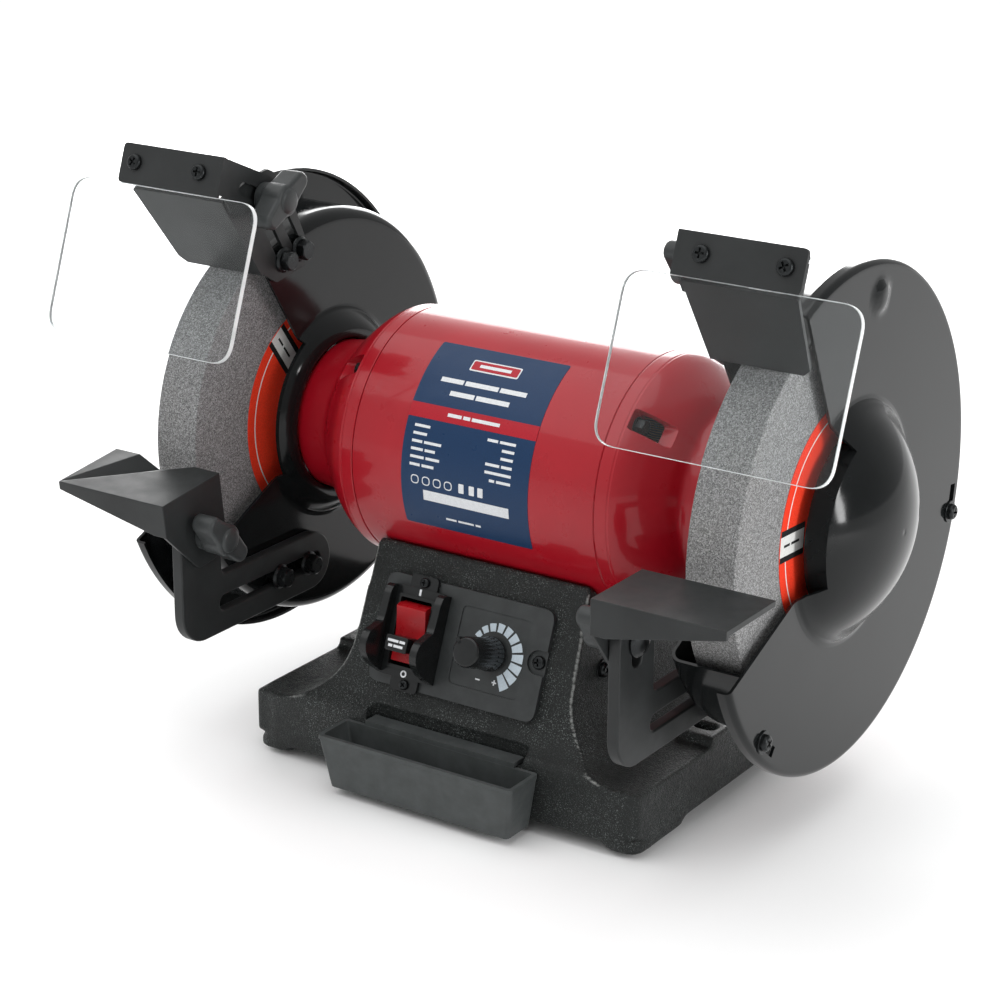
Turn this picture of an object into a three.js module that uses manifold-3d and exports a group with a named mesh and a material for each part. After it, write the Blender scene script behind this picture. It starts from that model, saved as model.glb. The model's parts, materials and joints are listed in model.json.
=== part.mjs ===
// Bench grinder with two 200 mm wheels, variable speed, guards, eye shields and tool rests.
// Millimetres, +Z up, +X along the spindle, -Y towards the user.
// The origin lies on the bench, under the middle of the machine's outline.

import * as THREE from 'three';
import { ConvexGeometry } from 'three/addons/geometries/ConvexGeometry.js';
import { mergeVertices } from 'three/addons/utils/BufferGeometryUtils.js';
import Module from 'manifold-3d';

const wasm = await Module();
wasm.setup();

// ---------------------------------------------------------------- driving dimensions

const GAP = 0.3; // clearance between neighbouring solids
const SHEET = 1.5; // guard sheet steel

// spindle and wheels
const SHAFT_HEIGHT = 156; // spindle axis above the bench
const WHEEL_RADIUS = 100;
const WHEEL_WIDTH = 25;
const WHEEL_CENTRE = 152.3; // wheel mid-plane from the machine's middle
const SPINDLE_RADIUS = 8;
const JOURNAL_RADIUS = 8.5;
const ROTOR_SHAFT_RADIUS = 11;
const SPINDLE_END = 186.5;

// motor
const MOTOR_RADIUS = 64.2;
const MOTOR_HALF = 70;
const NECK_RADIUS = 38.5;
const NECK_END = 124;
const BELL_BOLT_RADIUS = 56;

// guards
const GUARD_FACE = 129.6; // motor-side face of the guard plate
const GUARD_RADIUS = 106.5;
const GUARD_CORNER = 7;
const COVER_FACE = 171.3; // outer face of the guard cover
const COVER_RADIUS = 122.5;
const COVER_RIM = 6.5;
const COVER_SCREW_RADIUS = 114.5;
const COVER_SCREW_ANGLES = [-46, -166]; // from the user's side, upwards
const DOME_RADIUS = 56;
const DOME_HEIGHT = 27;

// base casting, heights from the spindle axis
const BASE_HALF = 113.5;
const BASE_FRONT = -91;
const BASE_REAR = 88;
const BASE_CORNER = 15;
const BASE_TOP = -122;
const SKIRT_BOTTOM = -150;
const PAD_BOTTOM = -153.4;
const PEDESTAL_TOP = -41;
const PEDESTAL_HALF = 64.5;
const COVE_RADIUS = 36;
const FACE_SLOPE = 0.39; // forward run of the control face for each unit of drop
const FACE_TOP_Y = -52.4; // control face at the pedestal's top
const FACE_CENTRE_Z = -80; // middle of the control plate
const FOOT_X = 101;
const FOOT_Y = [-72, 69];

// controls, in the control face's own frame
const PLATE_WIDTH = 98;
const PLATE_HEIGHT = 55;
const PLATE_X = -1;
const SWITCH_X = -28;
const DIAL_X = 18;

// quench tray
const TRAY_X = 2;
const TRAY_TOP = -123.4;
const TRAY_HEIGHT = 28;
const TRAY_WIDTH = 114;
const TRAY_DEPTH = 24;

// tool rests
const BAR_INNER = 123.3; // motor-side face of the bracket bar
const BAR_THICKNESS = 6;
const BAR_FRONT = -136.5;
const BAR_WIDTH = 30.5;
const BAR_BOTTOM = -89.3;
const BAR_END = -17.5;
const REST_STUD = { y: -121.2, z: -28 };
const REST_INNER = 121;
const REST_WIDTH = 67;
const REST_TOP = -1.5;
const REST_BACK = -105;
const REST_FRONT = -148.5;
const BRACKET_BOLT_Y = [-56, -32.6];
const BRACKET_BOLT_Z = -74;
const LEFT_REST = { slide: 4, drop: 4, tilt: 7 }; // nearer the wheel, lower and tipped towards the user
// |x| and depth at the rest's back edge
const GROOVE = { steep: 172.3, bottom: 159.8, gentle: 136.7, depth: 6.4 };

// spark deflectors and eye shields
const DEFLECTOR_ANGLE = 56; // radial plane of the plate, up from the user's side
const DEFLECTOR_BOTTOM = 104.5;
const DEFLECTOR_TOP = 155;
const LEG_INNER = 127.3;
const LEG_THICKNESS = 2;
const LEG_BOLTS = [{ y: -42.5, z: 90 }, { y: -29.5, z: 93 }];
const SHIELD_STUD = { y: -60, z: 125.5 };
const SHIELD_TILT = 20;
const SHIELD_WIDTH = 115.5;
const SHIELD_DROP = 78;
const SHIELD_X = 159.8;
const SHIELD_THICKNESS = 3;
const STRIP = { inner: 125.2, outer: 188, height: 19.7, y: -95.2, z: 131.7, thickness: 1.8 };

// The outline reaches from the rest's front edge to the guard cover's rear rim.
const SHAFT_Y = -(REST_FRONT + COVER_RADIUS) / 2;

// ---------------------------------------------------------------- materials

const paint = (color, roughness, metalness) => new THREE.MeshStandardMaterial({ color, roughness,
  metalness });
const MATERIAL = {
  castPaint: paint(0x16181a, 0.6, 0.2),
  redPaint: paint(0xb01c28, 0.25, 0.1),
  blackSteel: paint(0x1b1d1f, 0.45, 0.4),
  blackGuard: paint(0x151718, 0.35, 0.4),
  blackPlastic: paint(0x121314, 0.5, 0.0),
  redPlastic: paint(0xc0202a, 0.35, 0.0),
  rubber: paint(0x0d0d0e, 0.9, 0.0),
  steel: paint(0xb8babd, 0.3, 1.0),
  darkSteel: paint(0x222426, 0.4, 0.8),
  copper: paint(0xb0662c, 0.4, 0.9),
  abrasive: paint(0x85868a, 0.95, 0.0),
  clear: paint(0xe8eef0, 0.05, 0.0),
  board: paint(0x1f6b3a, 0.6, 0.0),
  aluminium: paint(0xc4c6c8, 0.35, 0.9),
};

// ---------------------------------------------------------------- shape helpers

const radians = THREE.MathUtils.degToRad;

// A closed mesh as a solid, with its vertices merged, slivers dropped and faces turned outwards.
function solid(geometry) {
  const bare = geometry.clone();
  for (const name of Object.keys(bare.attributes)) {
    if (name !== 'position') bare.deleteAttribute(name);
  }
  const merged = mergeVertices(bare, 1e-4);
  const place = merged.attributes.position.array;
  const index = merged.index.array;
  const corner = (i) => new THREE.Vector3(place[3 * i], place[3 * i + 1], place[3 * i + 2]);
  const kept = [];
  let volume = 0;
  for (let i = 0; i < index.length; i += 3) {
    const [a, b, c] = [index[i], index[i + 1], index[i + 2]];
    if (a === b || b === c || c === a) continue;
    kept.push(a, b, c);
    volume += corner(a).dot(corner(b).cross(corner(c)));
  }
  if (volume < 0) kept.reverse();
  return new wasm.Manifold(new wasm.Mesh({
    numProp: 3,
    vertProperties: new Float32Array(place),
    triVerts: new Uint32Array(kept),
  }));
}

const join = (first, ...rest) => rest.reduce((sum, piece) => sum.add(piece), first);
const cut = (first, ...rest) => rest.reduce((sum, piece) => sum.subtract(piece), first);

// Box between two corners.
function block([x0, y0, z0], [x1, y1, z1]) {
  const box = new THREE.BoxGeometry(x1 - x0, y1 - y0, z1 - z0);
  return solid(box.translate((x0 + x1) / 2, (y0 + y1) / 2, (z0 + z1) / 2));
}

// Outline [[x, radius], ...] turned about the X axis.
function turned(outline, segments = 36) {
  const points = outline.map(([x, radius]) => new THREE.Vector2(radius, x));
  return solid(new THREE.LatheGeometry(points, segments).rotateZ(-Math.PI / 2));
}

// Closed ring about the X axis from x0 to x1.
const ring = (x0, x1, inner, outer, segments) =>
  turned([[x0, inner], [x1, inner], [x1, outer], [x0, outer], [x0, inner]], segments);

// Round bar along X through (y, z), from x0 to x1.
function bar(x0, x1, radius, y = 0, z = 0, segments = 14) {
  const rod = new THREE.CylinderGeometry(radius, radius, x1 - x0, segments).rotateZ(-Math.PI / 2);
  return solid(rod.translate((x0 + x1) / 2, y, z));
}

// Round bar along Z through (x, y), from z0 to z1.
function post(z0, z1, radius, x, y, segments = 20, topRadius = radius) {
  const rod = new THREE.CylinderGeometry(topRadius, radius, z1 - z0, segments).rotateX(Math.PI / 2);
  return solid(rod.translate(x, y, (z0 + z1) / 2));
}

// Flat outline in the Y-Z plane, given as a Shape in (y, z), as a plate from x0 to x1.
function sidePlate(shape, x0, x1, curveSegments = 5) {
  const plate = new THREE.ExtrudeGeometry(shape, { depth: x1 - x0, bevelEnabled: false, curveSegments });
  return solid(plate.applyMatrix4(new THREE.Matrix4().set(0, 0, 1, x0, 1, 0, 0, 0, 0, 1, 0, 0, 0, 0, 0, 1)));
}

// Flat outline in the X-Y plane as a plate from z0 to z1.
function flatPlate(shape, z0, z1, curveSegments = 4) {
  const plate = new THREE.ExtrudeGeometry(shape, { depth: z1 - z0, bevelEnabled: false, curveSegments });
  return solid(plate.translate(0, 0, z0));
}

// Flat outline in the X-Z plane as a plate from y0 to y1.
function frontPlate(shape, y0, y1, curveSegments = 5) {
  const plate = new THREE.ExtrudeGeometry(shape, { depth: y1 - y0, bevelEnabled: false, curveSegments });
  return solid(plate.rotateX(Math.PI / 2).translate(0, y1, 0));
}

const polygon = (points) => new THREE.Shape(points.map(([a, b]) => new THREE.Vector2(a, b)));

function roundedRectangle(x0, y0, x1, y1, radius) {
  const shape = new THREE.Shape();
  shape.moveTo(x0 + radius, y0);
  shape.lineTo(x1 - radius, y0);
  shape.absarc(x1 - radius, y0 + radius, radius, -Math.PI / 2, 0);
  shape.lineTo(x1, y1 - radius);
  shape.absarc(x1 - radius, y1 - radius, radius, 0, Math.PI / 2);
  shape.lineTo(x0 + radius, y1);
  shape.absarc(x0 + radius, y1 - radius, radius, Math.PI / 2, Math.PI);
  shape.lineTo(x0, y0 + radius);
  shape.absarc(x0 + radius, y0 + radius, radius, Math.PI, 1.5 * Math.PI);
  return shape;
}

// Slot with round ends between two points.
function slotShape(from, to, halfWidth) {
  const heading = Math.atan2(to.z - from.z, to.y - from.y);
  const shape = new THREE.Shape();
  shape.absarc(to.y, to.z, halfWidth, heading - Math.PI / 2, heading + Math.PI / 2);
  shape.absarc(from.y, from.z, halfWidth, heading + Math.PI / 2, heading + 1.5 * Math.PI);
  return shape;
}

// Ring sector about the spindle in the Y-Z plane. Angles rise from the user's side (-Y) upwards.
function sector(inner, outer, from, to) {
  const start = Math.PI - radians(from);
  const end = Math.PI - radians(to);
  const shape = new THREE.Shape();
  shape.absarc(0, 0, outer, start, end, true);
  shape.absarc(0, 0, inner, end, start, false);
  return shape;
}

const atAngle = (radius, angle) => ({ y: -radius * Math.cos(radians(angle)),
  z: radius * Math.sin(radians(angle)) });

// Regular hexagon prism along X.
function hexagon(x0, x1, acrossFlats, y, z) {
  return bar(x0, x1, acrossFlats / Math.sqrt(3), y, z, 6);
}

function geometryOf(body) {
  const { vertProperties, numProp, triVerts } = body.getMesh();
  const place = new Float32Array((vertProperties.length / numProp) * 3);
  for (let i = 0; i < place.length / 3; i += 1) {
    place.set(vertProperties.subarray(i * numProp, i * numProp + 3), 3 * i);
  }
  const geometry = new THREE.BufferGeometry();
  geometry.setAttribute('position', new THREE.BufferAttribute(place, 3));
  geometry.setIndex(new THREE.BufferAttribute(new Uint32Array(triVerts), 1));
  return geometry;
}

// A solid turned or shifted: change works on its geometry.
const moved = (body, change) => solid(change(geometryOf(body)));

// Named mesh of a solid.
function mesh(name, body, material) {
  const piece = new THREE.Mesh(geometryOf(body), material);
  piece.name = name;
  return piece;
}

// The same mesh on the machine's other side: mirrored in X with its faces turned back outwards.
function mirrored(piece) {
  const copy = new THREE.Mesh(piece.geometry.clone(), piece.material);
  copy.geometry.scale(-1, 1, 1);
  copy.geometry.index.array.reverse();
  return copy;
}

const model = new THREE.Group();
const machine = new THREE.Group(); // frame on the spindle axis
machine.position.set(0, SHAFT_Y, SHAFT_HEIGHT);
model.add(machine);

const add = (name, body, material) => machine.add(mesh(name, body, material));

// Adds the mirror image of a right-hand solid, shifted back and down.
function addLeft(name, body, material, slide = 0, drop = 0) {
  const left = mirrored(mesh('', body, material));
  left.geometry.translate(0, slide, -drop);
  left.name = `left_${name}`;
  machine.add(left);
}

// Adds a right-hand piece and its mirror image.
function addPair(name, body, material, slide = 0, drop = 0) {
  add(`right_${name}`, body, material);
  addLeft(name, body, material, slide, drop);
}

// ---------------------------------------------------------------- base casting

const PLATE_CENTRE_Y = FACE_TOP_Y + FACE_SLOPE * (FACE_CENTRE_Z - PEDESTAL_TOP);
const FACE_TILT = Math.atan(FACE_SLOPE);
const faceY = (z) => FACE_TOP_Y - FACE_SLOPE * (PEDESTAL_TOP - z);

// Front elevation of the pedestal with its two coves, shrunk all round by a wall.
function pedestalOutline(wall) {
  const half = PEDESTAL_HALF - wall;
  const top = PEDESTAL_TOP - wall;
  const floor = BASE_TOP - wall;
  const coveX = PEDESTAL_HALF + COVE_RADIUS;
  const coveZ = BASE_TOP + COVE_RADIUS;
  const radius = COVE_RADIUS + wall;
  const edge = Math.min(coveX, BASE_HALF - wall);
  const reach = Math.acos(Math.min(1, (coveX - edge) / radius));
  const shape = new THREE.Shape();
  shape.moveTo(-edge, SKIRT_BOTTOM + 5);
  shape.lineTo(edge, SKIRT_BOTTOM + 5);
  shape.lineTo(edge, floor);
  shape.absarc(coveX, coveZ, radius, -Math.PI / 2 - (Math.PI / 2 - reach), Math.PI, true);
  shape.lineTo(half - 2.5, top);
  shape.lineTo(-half + 2.5, top);
  shape.absarc(-coveX, coveZ, radius, 0, -Math.PI / 2 + (Math.PI / 2 - reach), true);
  shape.lineTo(-edge, floor);
  return shape;
}

// Side elevation of the pedestal: control face, front shoulder, rear slope.
function pedestalSide(wall) {
  const rear = 50 - wall;
  return polygon([
    [faceY(PEDESTAL_TOP) + wall * 1.1, PEDESTAL_TOP + 1],
    [faceY(-108) + wall * 1.1, -108],
    [faceY(-114) - 2 + wall * 1.1, -114],
    [faceY(-118.5) - 6 + wall * 1.1, -118.5],
    [BASE_FRONT + 1.2 + wall * 1.1, BASE_TOP],
    [BASE_FRONT + 1.2 + wall * 1.1, SKIRT_BOTTOM],
    [BASE_REAR - 3 - wall, SKIRT_BOTTOM],
    [BASE_REAR - 3 - wall, BASE_TOP],
    [rear + 12, -112],
    [rear, PEDESTAL_TOP + 1],
  ]);
}

function pedestal(wall) {
  const front = frontPlate(pedestalOutline(wall), BASE_FRONT - 1, BASE_REAR + 1, 7);
  const side = sidePlate(pedestalSide(wall), -BASE_HALF - 1, BASE_HALF + 1);
  return front.intersect(side);
}

// A piece fixed to the control face, moved from the face's own frame to the machine's.
const onFace = (body) => moved(body, (geometry) =>
  geometry.rotateX(Math.PI / 2 - FACE_TILT).translate(0, PLATE_CENTRE_Y, FACE_CENTRE_Z));

const LUG = { inner: 93, y0: -21, y1: 16, top: -117.5, slotX: 103, slotY: -9 };
const POCKET = { half: 46.5, y0: -87.6, y1: -82.6, floor: -133 };
const WALL = 4.5; // casting wall
const CORD = { x: 60, z: -136 }; // the mains lead's hole in the rear wall

function baseCasting() {
  const plan = (inset) => roundedRectangle(
    -BASE_HALF + inset, BASE_FRONT + inset, BASE_HALF - inset, BASE_REAR - inset, BASE_CORNER - inset * 0.8);
  let body = flatPlate(plan(0), SKIRT_BOTTOM, BASE_TOP, 4).add(pedestal(0));
  const inPlan = flatPlate(plan(0), PAD_BOTTOM, -10, 4);
  for (const side of [1, -1]) {
    const lug = block(
      [Math.min(side * LUG.inner, side * 140), LUG.y0, BASE_TOP - 4],
      [Math.max(side * LUG.inner, side * 140), LUG.y1, LUG.top]);
    body = body.add(lug.intersect(inPlan));
    for (const y of FOOT_Y) {
      const inward = Math.sign(y);
      const pad = block(
        [Math.min(side * 92, side * 140), Math.min(y - 20, y - inward * 30), PAD_BOTTOM],
        [Math.max(side * 92, side * 140), Math.max(y + 20, y - inward * 30), SKIRT_BOTTOM + 2]);
      body = body.add(pad.intersect(inPlan));
    }
  }
  // hollow underside, open downwards, with a boss at each foot and under each lug
  let hollow = flatPlate(plan(WALL), PAD_BOTTOM - 1, BASE_TOP - WALL, 4).add(pedestal(WALL));
  hollow = hollow.subtract(block([-54, BASE_FRONT, PAD_BOTTOM - 2], [54, POCKET.y1 + 4, BASE_TOP + 6]));
  for (const side of [1, -1]) {
    for (const y of FOOT_Y) hollow = hollow.subtract(post(PAD_BOTTOM - 2, BASE_TOP, 13, side * FOOT_X, y,
    12));
    hollow = hollow.subtract(block(
      [Math.min(side * 94, side * 112), LUG.slotY - 14, PAD_BOTTOM - 2],
      [Math.max(side * 94, side * 112), LUG.slotY + 14, BASE_TOP]));
  }
  body = body.subtract(hollow);
  // motor cradle and the way in for the motor leads
  body = cut(body, bar(-MOTOR_HALF - 5, MOTOR_HALF + 5, MOTOR_RADIUS + GAP + 0.3, 0, 0, 44),
    post(-90, -55, 11, 0, 0));
  // window behind the control plate and the plate's screw
  const window = flatPlate(roundedRectangle(-46, -22, 36, 22, 4), -14, 6, 3);
  const plateScrew = post(-12, 6, 2.2, 44, 1.6, 10);
  body = cut(body, onFace(window.add(plateScrew)));
  // pocket that takes the tray's hook
  const pocket = block([-POCKET.half + TRAY_X, POCKET.y0, POCKET.floor],
    [POCKET.half + TRAY_X, POCKET.y1, -80]);
  const sill = block([-POCKET.half + TRAY_X, BASE_FRONT - 2, TRAY_TOP + 0.4],
    [POCKET.half + TRAY_X, POCKET.y1, -80]);
  const frontOfFace = sidePlate(polygon([[-100, -114.5], [faceY(-114.5) + 9, -114.5], [faceY(-122) + 5, -140],
    [-100, -140]]), -60, 64);
  body = cut(body, pocket.intersect(frontOfFace), sill.intersect(frontOfFace));
  // bench-bolt slots, foot holes, side screws and the cord's hole
  for (const side of [1, -1]) {
    const from = { y: LUG.slotY, z: side * LUG.slotX - 2.5 };
    const to = { y: LUG.slotY, z: side * LUG.slotX + 2.5 };
    const slot = slotShape(from, to, 3.7);
    const cutter = new THREE.ExtrudeGeometry(slot, { depth: 60, bevelEnabled: false, curveSegments: 5 });
    // the slot's outline is drawn in (y, x)
    cutter.applyMatrix4(new THREE.Matrix4().set(0, 1, 0, 0, 1, 0, 0, 0, 0, 0, 1, -160, 0, 0, 0, 1));
    body = cut(body, solid(cutter));
    for (const y of FOOT_Y) body = cut(body, post(PAD_BOTTOM - 1, -136, 3.4, side * FOOT_X, y, 12));
    body = cut(body, bar(Math.min(side * 50, side * 80), Math.max(side * 50, side * 80), 2.2, -44, -85, 10));
  }
  const cordHole = new THREE.CylinderGeometry(7.3, 7.3, 40, 20).translate(CORD.x, BASE_REAR, CORD.z);
  return body.subtract(solid(cordHole));
}
add('base_casting', baseCasting(), MATERIAL.castPaint);

const COVER_INSET = 5.2;
const bottomPlate = flatPlate(roundedRectangle(-BASE_HALF + COVER_INSET, BASE_FRONT + 13.5,
  BASE_HALF - COVER_INSET,
  BASE_REAR - COVER_INSET, 10), -151.6, -150.3, 4);
const footClearance = [1, -1].flatMap((side) => FOOT_Y.map((y) => post(-155, -145, 13.9, side * FOOT_X, y,
  12)));
const lugClearance = [1, -1].map((side) => block(
  [Math.min(side * 93.4, side * 120), LUG.slotY - 14.6, -155],
  [Math.max(side * 93.4, side * 120), LUG.slotY + 14.6, -145]));
const padClearance = [1, -1].flatMap((side) => FOOT_Y.map((y) => block(
  [Math.min(side * 91.5, side * 120), Math.min(y - 20.5, y - Math.sign(y) * 30.5), -155],
  [Math.max(side * 91.5, side * 120), Math.max(y + 20.5, y - Math.sign(y) * 30.5), -145])));
add('bottom_cover', cut(bottomPlate, ...footClearance, ...lugClearance, ...padClearance),
  MATERIAL.blackSteel);

// rubber foot: a tapered pad with a plug that fills the casting's hole
FOOT_Y.forEach((y, row) => {
  for (const side of [1, -1]) {
    const pad = post(-SHAFT_HEIGHT, PAD_BOTTOM - GAP, 8.5, side * FOOT_X, y, 16, 9.5);
    const plug = post(PAD_BOTTOM - GAP - 0.5, -138, 3, side * FOOT_X, y, 8);
    add(`${row === 0 ? 'front' : 'rear'}_${side > 0 ? 'right' : 'left'}_foot`, pad.add(plug),
      MATERIAL.rubber);
  }
});

// ---------------------------------------------------------------- controls on the sloping face

function controlPlate() {
  const shape = roundedRectangle(PLATE_X - PLATE_WIDTH / 2, -PLATE_HEIGHT / 2, PLATE_X + PLATE_WIDTH / 2,
    PLATE_HEIGHT / 2, 6);
  const screwNotch = post(1.4, 9, 6, 44, 1.6, 24).add(block([44, -4.4, 1.4], [52, 7.6, 9]));
  return cut(flatPlate(shape, GAP, 3, 5), screwNotch, post(-5, 9, 2.4, 44, 1.6, 12),
    flatPlate(roundedRectangle(SWITCH_X - 11, -18.5, SWITCH_X + 11, 18.5, 2), -5, 9, 3),
    post(-5, 9, 5.2, DIAL_X, 0, 20));
}
add('control_plate', onFace(controlPlate()), MATERIAL.blackPlastic);

// Finger guard round the rocker: two cheeks that rise beside the lock key.
function switchHousing() {
  const cheek = polygon([[22, 3.3], [22, 8.5], [19, 11.5], [4, 12.5], [1.5, 15], [-1.2, 21], [-5, 23.6],
  [-10, 23.8],
    [-15, 20.5], [-19.5, 13], [-22.5, 3.3]]);
  const deck = flatPlate(roundedRectangle(SWITCH_X - 17, -22.5, SWITCH_X + 17, 22.5, 5), 3.3, 6, 4);
  const tabs = flatPlate(roundedRectangle(SWITCH_X - 7, -29, SWITCH_X + 9, 29, 2.5), 3.3, 5, 3);
  const cheekAt = (x) => sidePlate(cheek, x, x + 4);
  const well = flatPlate(roundedRectangle(SWITCH_X - 9.2, -16.8, SWITCH_X + 9.2, 16.8, 1), 0, 30, 2);
  const screws = [-25.6, 25.6].map((y) => post(2, 8, 1.6, SWITCH_X + 1.5, y, 10));
  return cut(join(deck, tabs, cheekAt(SWITCH_X - 17), cheekAt(SWITCH_X + 13)), well, ...screws);
}
add('switch_housing', onFace(switchHousing()), MATERIAL.blackPlastic);

// Rocker at "off": its lower half is pressed in. It pivots on the line y = 0, z = 0 of the face's frame.
function powerRocker() {
  const outline = polygon([[-14.8, 6], [0, 7], [12, 10.6], [13.6, 8.4], [15, 4], [9, -5], [-9, -5],
  [-15.6, 2.5]]);
  const keySlot = block([SWITCH_X - 5, -8.8, 1.4], [SWITCH_X + 3, -2.9, 12]);
  return cut(sidePlate(outline, SWITCH_X - 8.6, SWITCH_X + 8.6), keySlot);
}
add('power_rocker', onFace(powerRocker()), MATERIAL.redPlastic);

const keyGrip = block([SWITCH_X - 7.5, -9.8, 7.2], [SWITCH_X + 5.5, -2, 16]);
const keyTongue = block([SWITCH_X - 4.6, -8.4, 1.8], [SWITCH_X + 2.6, -3.3, 8]);
add('lock_key', onFace(keyGrip.add(keyTongue)), MATERIAL.blackPlastic);

// Knob with a pointer ridge and a blind hole for the control's spindle.
function speedKnob() {
  const outline = [[4.2, 0], [4.2, 8.4], [7, 8.4], [8, 7.9], [27.2, 7.5], [28, 6.6], [28, 0]];
  const grip = turned(outline, 24);
  const pointer = block([9, -0.9, 5], [28, 0.9, 8.6]);
  const bored = cut(grip.add(pointer), bar(4, 14.4, 3.4, 0, 0, 12));
  return moved(bored, (geometry) => geometry.rotateY(-Math.PI / 2).rotateZ(-Math.PI / 4).translate(DIAL_X, 0,
    0));
}
add('speed_knob', onFace(speedKnob()), MATERIAL.blackPlastic);

// Circuit board with the speed control's body and spindle, a heat sink and terminals.
function speedControlBoard() {
  const board = block([-8, -20, -13.5], [40, 20, -11.9]);
  const control = join(post(-12, -1, 8, DIAL_X, 0, 24), post(-2, 3.4, 4.6, DIAL_X, 0, 16),
    post(3, 13.8, 3, DIAL_X, 0, 16));
  const sink = block([-6, 8, -32], [12, 18, -13]);
  const terminals = block([26, -18, -22], [38, -8, -13]);
  return onFace(join(board, control, sink, terminals));
}
add('speed_control_board', speedControlBoard(), MATERIAL.board);

const capacitor = turned([[-38, 0], [-38, 17], [34, 17], [34, 6], [38, 6], [38, 0]], 24);
add('capacitor', moved(capacitor, (geometry) => geometry.translate(-18, 22, -112)), MATERIAL.aluminium);

// Gland of the mains lead: a flanged sleeve through the rear wall with a nut inside.
function cableGland() {
  const outline = [[0, 4], [24, 4], [24, 6.9], [7, 6.9], [7, 10.5], [3, 10], [0, 8], [0, 4]];
  return moved(turned(outline, 16), (geometry) =>
    geometry.rotateZ(-Math.PI / 2).translate(CORD.x, BASE_REAR + 7 + GAP, CORD.z));
}
add('cable_gland', cableGland(), MATERIAL.rubber);

// ---------------------------------------------------------------- quench tray

// Box that narrows downwards by a draft on every side.
function taperedBox([x0, y0, z0], [x1, y1, z1], draftX, draftFront) {
  const box = new THREE.BoxGeometry(x1 - x0, y1 - y0, z1 - z0);
  box.translate((x0 + x1) / 2, (y0 + y1) / 2, (z0 + z1) / 2);
  const place = box.attributes.position;
  for (let i = 0; i < place.count; i += 1) {
    if (place.getZ(i) > (z0 + z1) / 2) continue;
    const middle = (x0 + x1) / 2;
    place.setX(i, place.getX(i) - Math.sign(place.getX(i) - middle) * draftX);
    if (place.getY(i) < (y0 + y1) / 2) place.setY(i, place.getY(i) + draftFront);
  }
  return solid(box);
}

function quenchTray() {
  const back = BASE_FRONT - GAP;
  const half = TRAY_WIDTH / 2;
  const outer = taperedBox([TRAY_X - half, back - TRAY_DEPTH, TRAY_TOP - TRAY_HEIGHT],
    [TRAY_X + half, back, TRAY_TOP],
    4.5, 4);
  const inner = taperedBox([TRAY_X - half + 2, back - TRAY_DEPTH + 2, TRAY_TOP - TRAY_HEIGHT + 2.2],
    [TRAY_X + half - 2, back - 2, TRAY_TOP + 1], 4.6, 4);
  const bridge = block([TRAY_X - 44, back - 1.5, TRAY_TOP - 0.1 + 0.5], [TRAY_X + 44, -84.2, TRAY_TOP + 2.6]);
  const riser = block([TRAY_X - 44, back - 1.8, TRAY_TOP - 3], [TRAY_X + 44, back, TRAY_TOP + 2.6]);
  const hook = block([TRAY_X - 44, -86.6, -131], [TRAY_X + 44, -84.2, TRAY_TOP + 2.6]);
  return join(cut(outer, inner), bridge, riser, hook);
}
add('quench_tray', quenchTray(), MATERIAL.blackPlastic);

// ---------------------------------------------------------------- motor

const SHELL_INNER = MOTOR_RADIUS - 2.5;
const leadHole = post(-80, -50, 9, 0, 0);
add('motor_shell', ring(-MOTOR_HALF, MOTOR_HALF, SHELL_INNER, MOTOR_RADIUS, 44).subtract(leadHole),
  MATERIAL.redPaint);

// End bell: rounded shoulder, neck for the guard, seat for the bearing.
function endBell() {
  const outline = [
    [MOTOR_HALF + GAP, 60], [MOTOR_HALF + GAP, MOTOR_RADIUS], [77, MOTOR_RADIUS], [84, 61], [92, 54.8],
    [99.5, 46.8], [104.5, 41.4], [NECK_END, NECK_RADIUS],
    [NECK_END, 13], [115, 13], [115, 20.4], [102, 20.4], [95, 43], [84, 56], [MOTOR_HALF + GAP, 60],
  ];
  let body = turned(outline, 32);
  for (const angle of [45, 135, 225, 315]) {
    const place = atAngle(BELL_BOLT_RADIUS, angle);
    const pocket = moved(block([78, -6.5, -6], [100, 6.5, 14]), (geometry) =>
      geometry.rotateX(radians(90 - angle)).translate(0, place.y, place.z));
    const floor = bar(MOTOR_HALF + GAP, 78, 7, place.y * 0.97, place.z * 0.97, 8);
    body = cut(body.add(floor), pocket, bar(60, 90, 2.2, place.y, place.z, 10));
  }
  return body;
}
addPair('end_bell', endBell(), MATERIAL.redPaint);

const STACK = 34; // half length of the laminated stack
const SLOTS = Array.from({ length: 8 }, (_, i) => (i + 0.5) * 45);

function slotBar(half, width, from, to, angle) {
  const piece = new THREE.BoxGeometry(2 * half, width, to - from).translate(0, 0, (from + to) / 2);
  return solid(piece.rotateX(radians(angle)));
}
const slotCuts = SLOTS.map((angle) => slotBar(STACK + 1, 12, 38, 54, angle));
add('stator_core', cut(ring(-STACK, STACK, 36, SHELL_INNER - 2 * GAP, 40), ...slotCuts), MATERIAL.darkSteel);
const endTurns = (x0, x1) => turned([[x0, 40], [x1, 42], [x1, 54], [x0, 57], [x0, 40]], 24);
add('stator_winding', join(endTurns(STACK + GAP, 52), endTurns(-STACK - GAP, -52),
  ...SLOTS.map((angle) => slotBar(STACK + 2, 11, 39, 53, angle))), MATERIAL.copper);
add('rotor_core', ring(-STACK, STACK, ROTOR_SHAFT_RADIUS + GAP, 35, 24), MATERIAL.steel);

const halfShaft = [
  [84, ROTOR_SHAFT_RADIUS], [84, 10], [98, 10], [98, JOURNAL_RADIUS], [118, JOURNAL_RADIUS],
  [118, SPINDLE_RADIUS], [SPINDLE_END - 1, SPINDLE_RADIUS], [SPINDLE_END, SPINDLE_RADIUS - 1],
  [SPINDLE_END, 0],
];
add('shaft', turned([...halfShaft.map(([x, radius]) => [-x, radius]).reverse(), ...halfShaft], 16),
  MATERIAL.steel);

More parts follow.
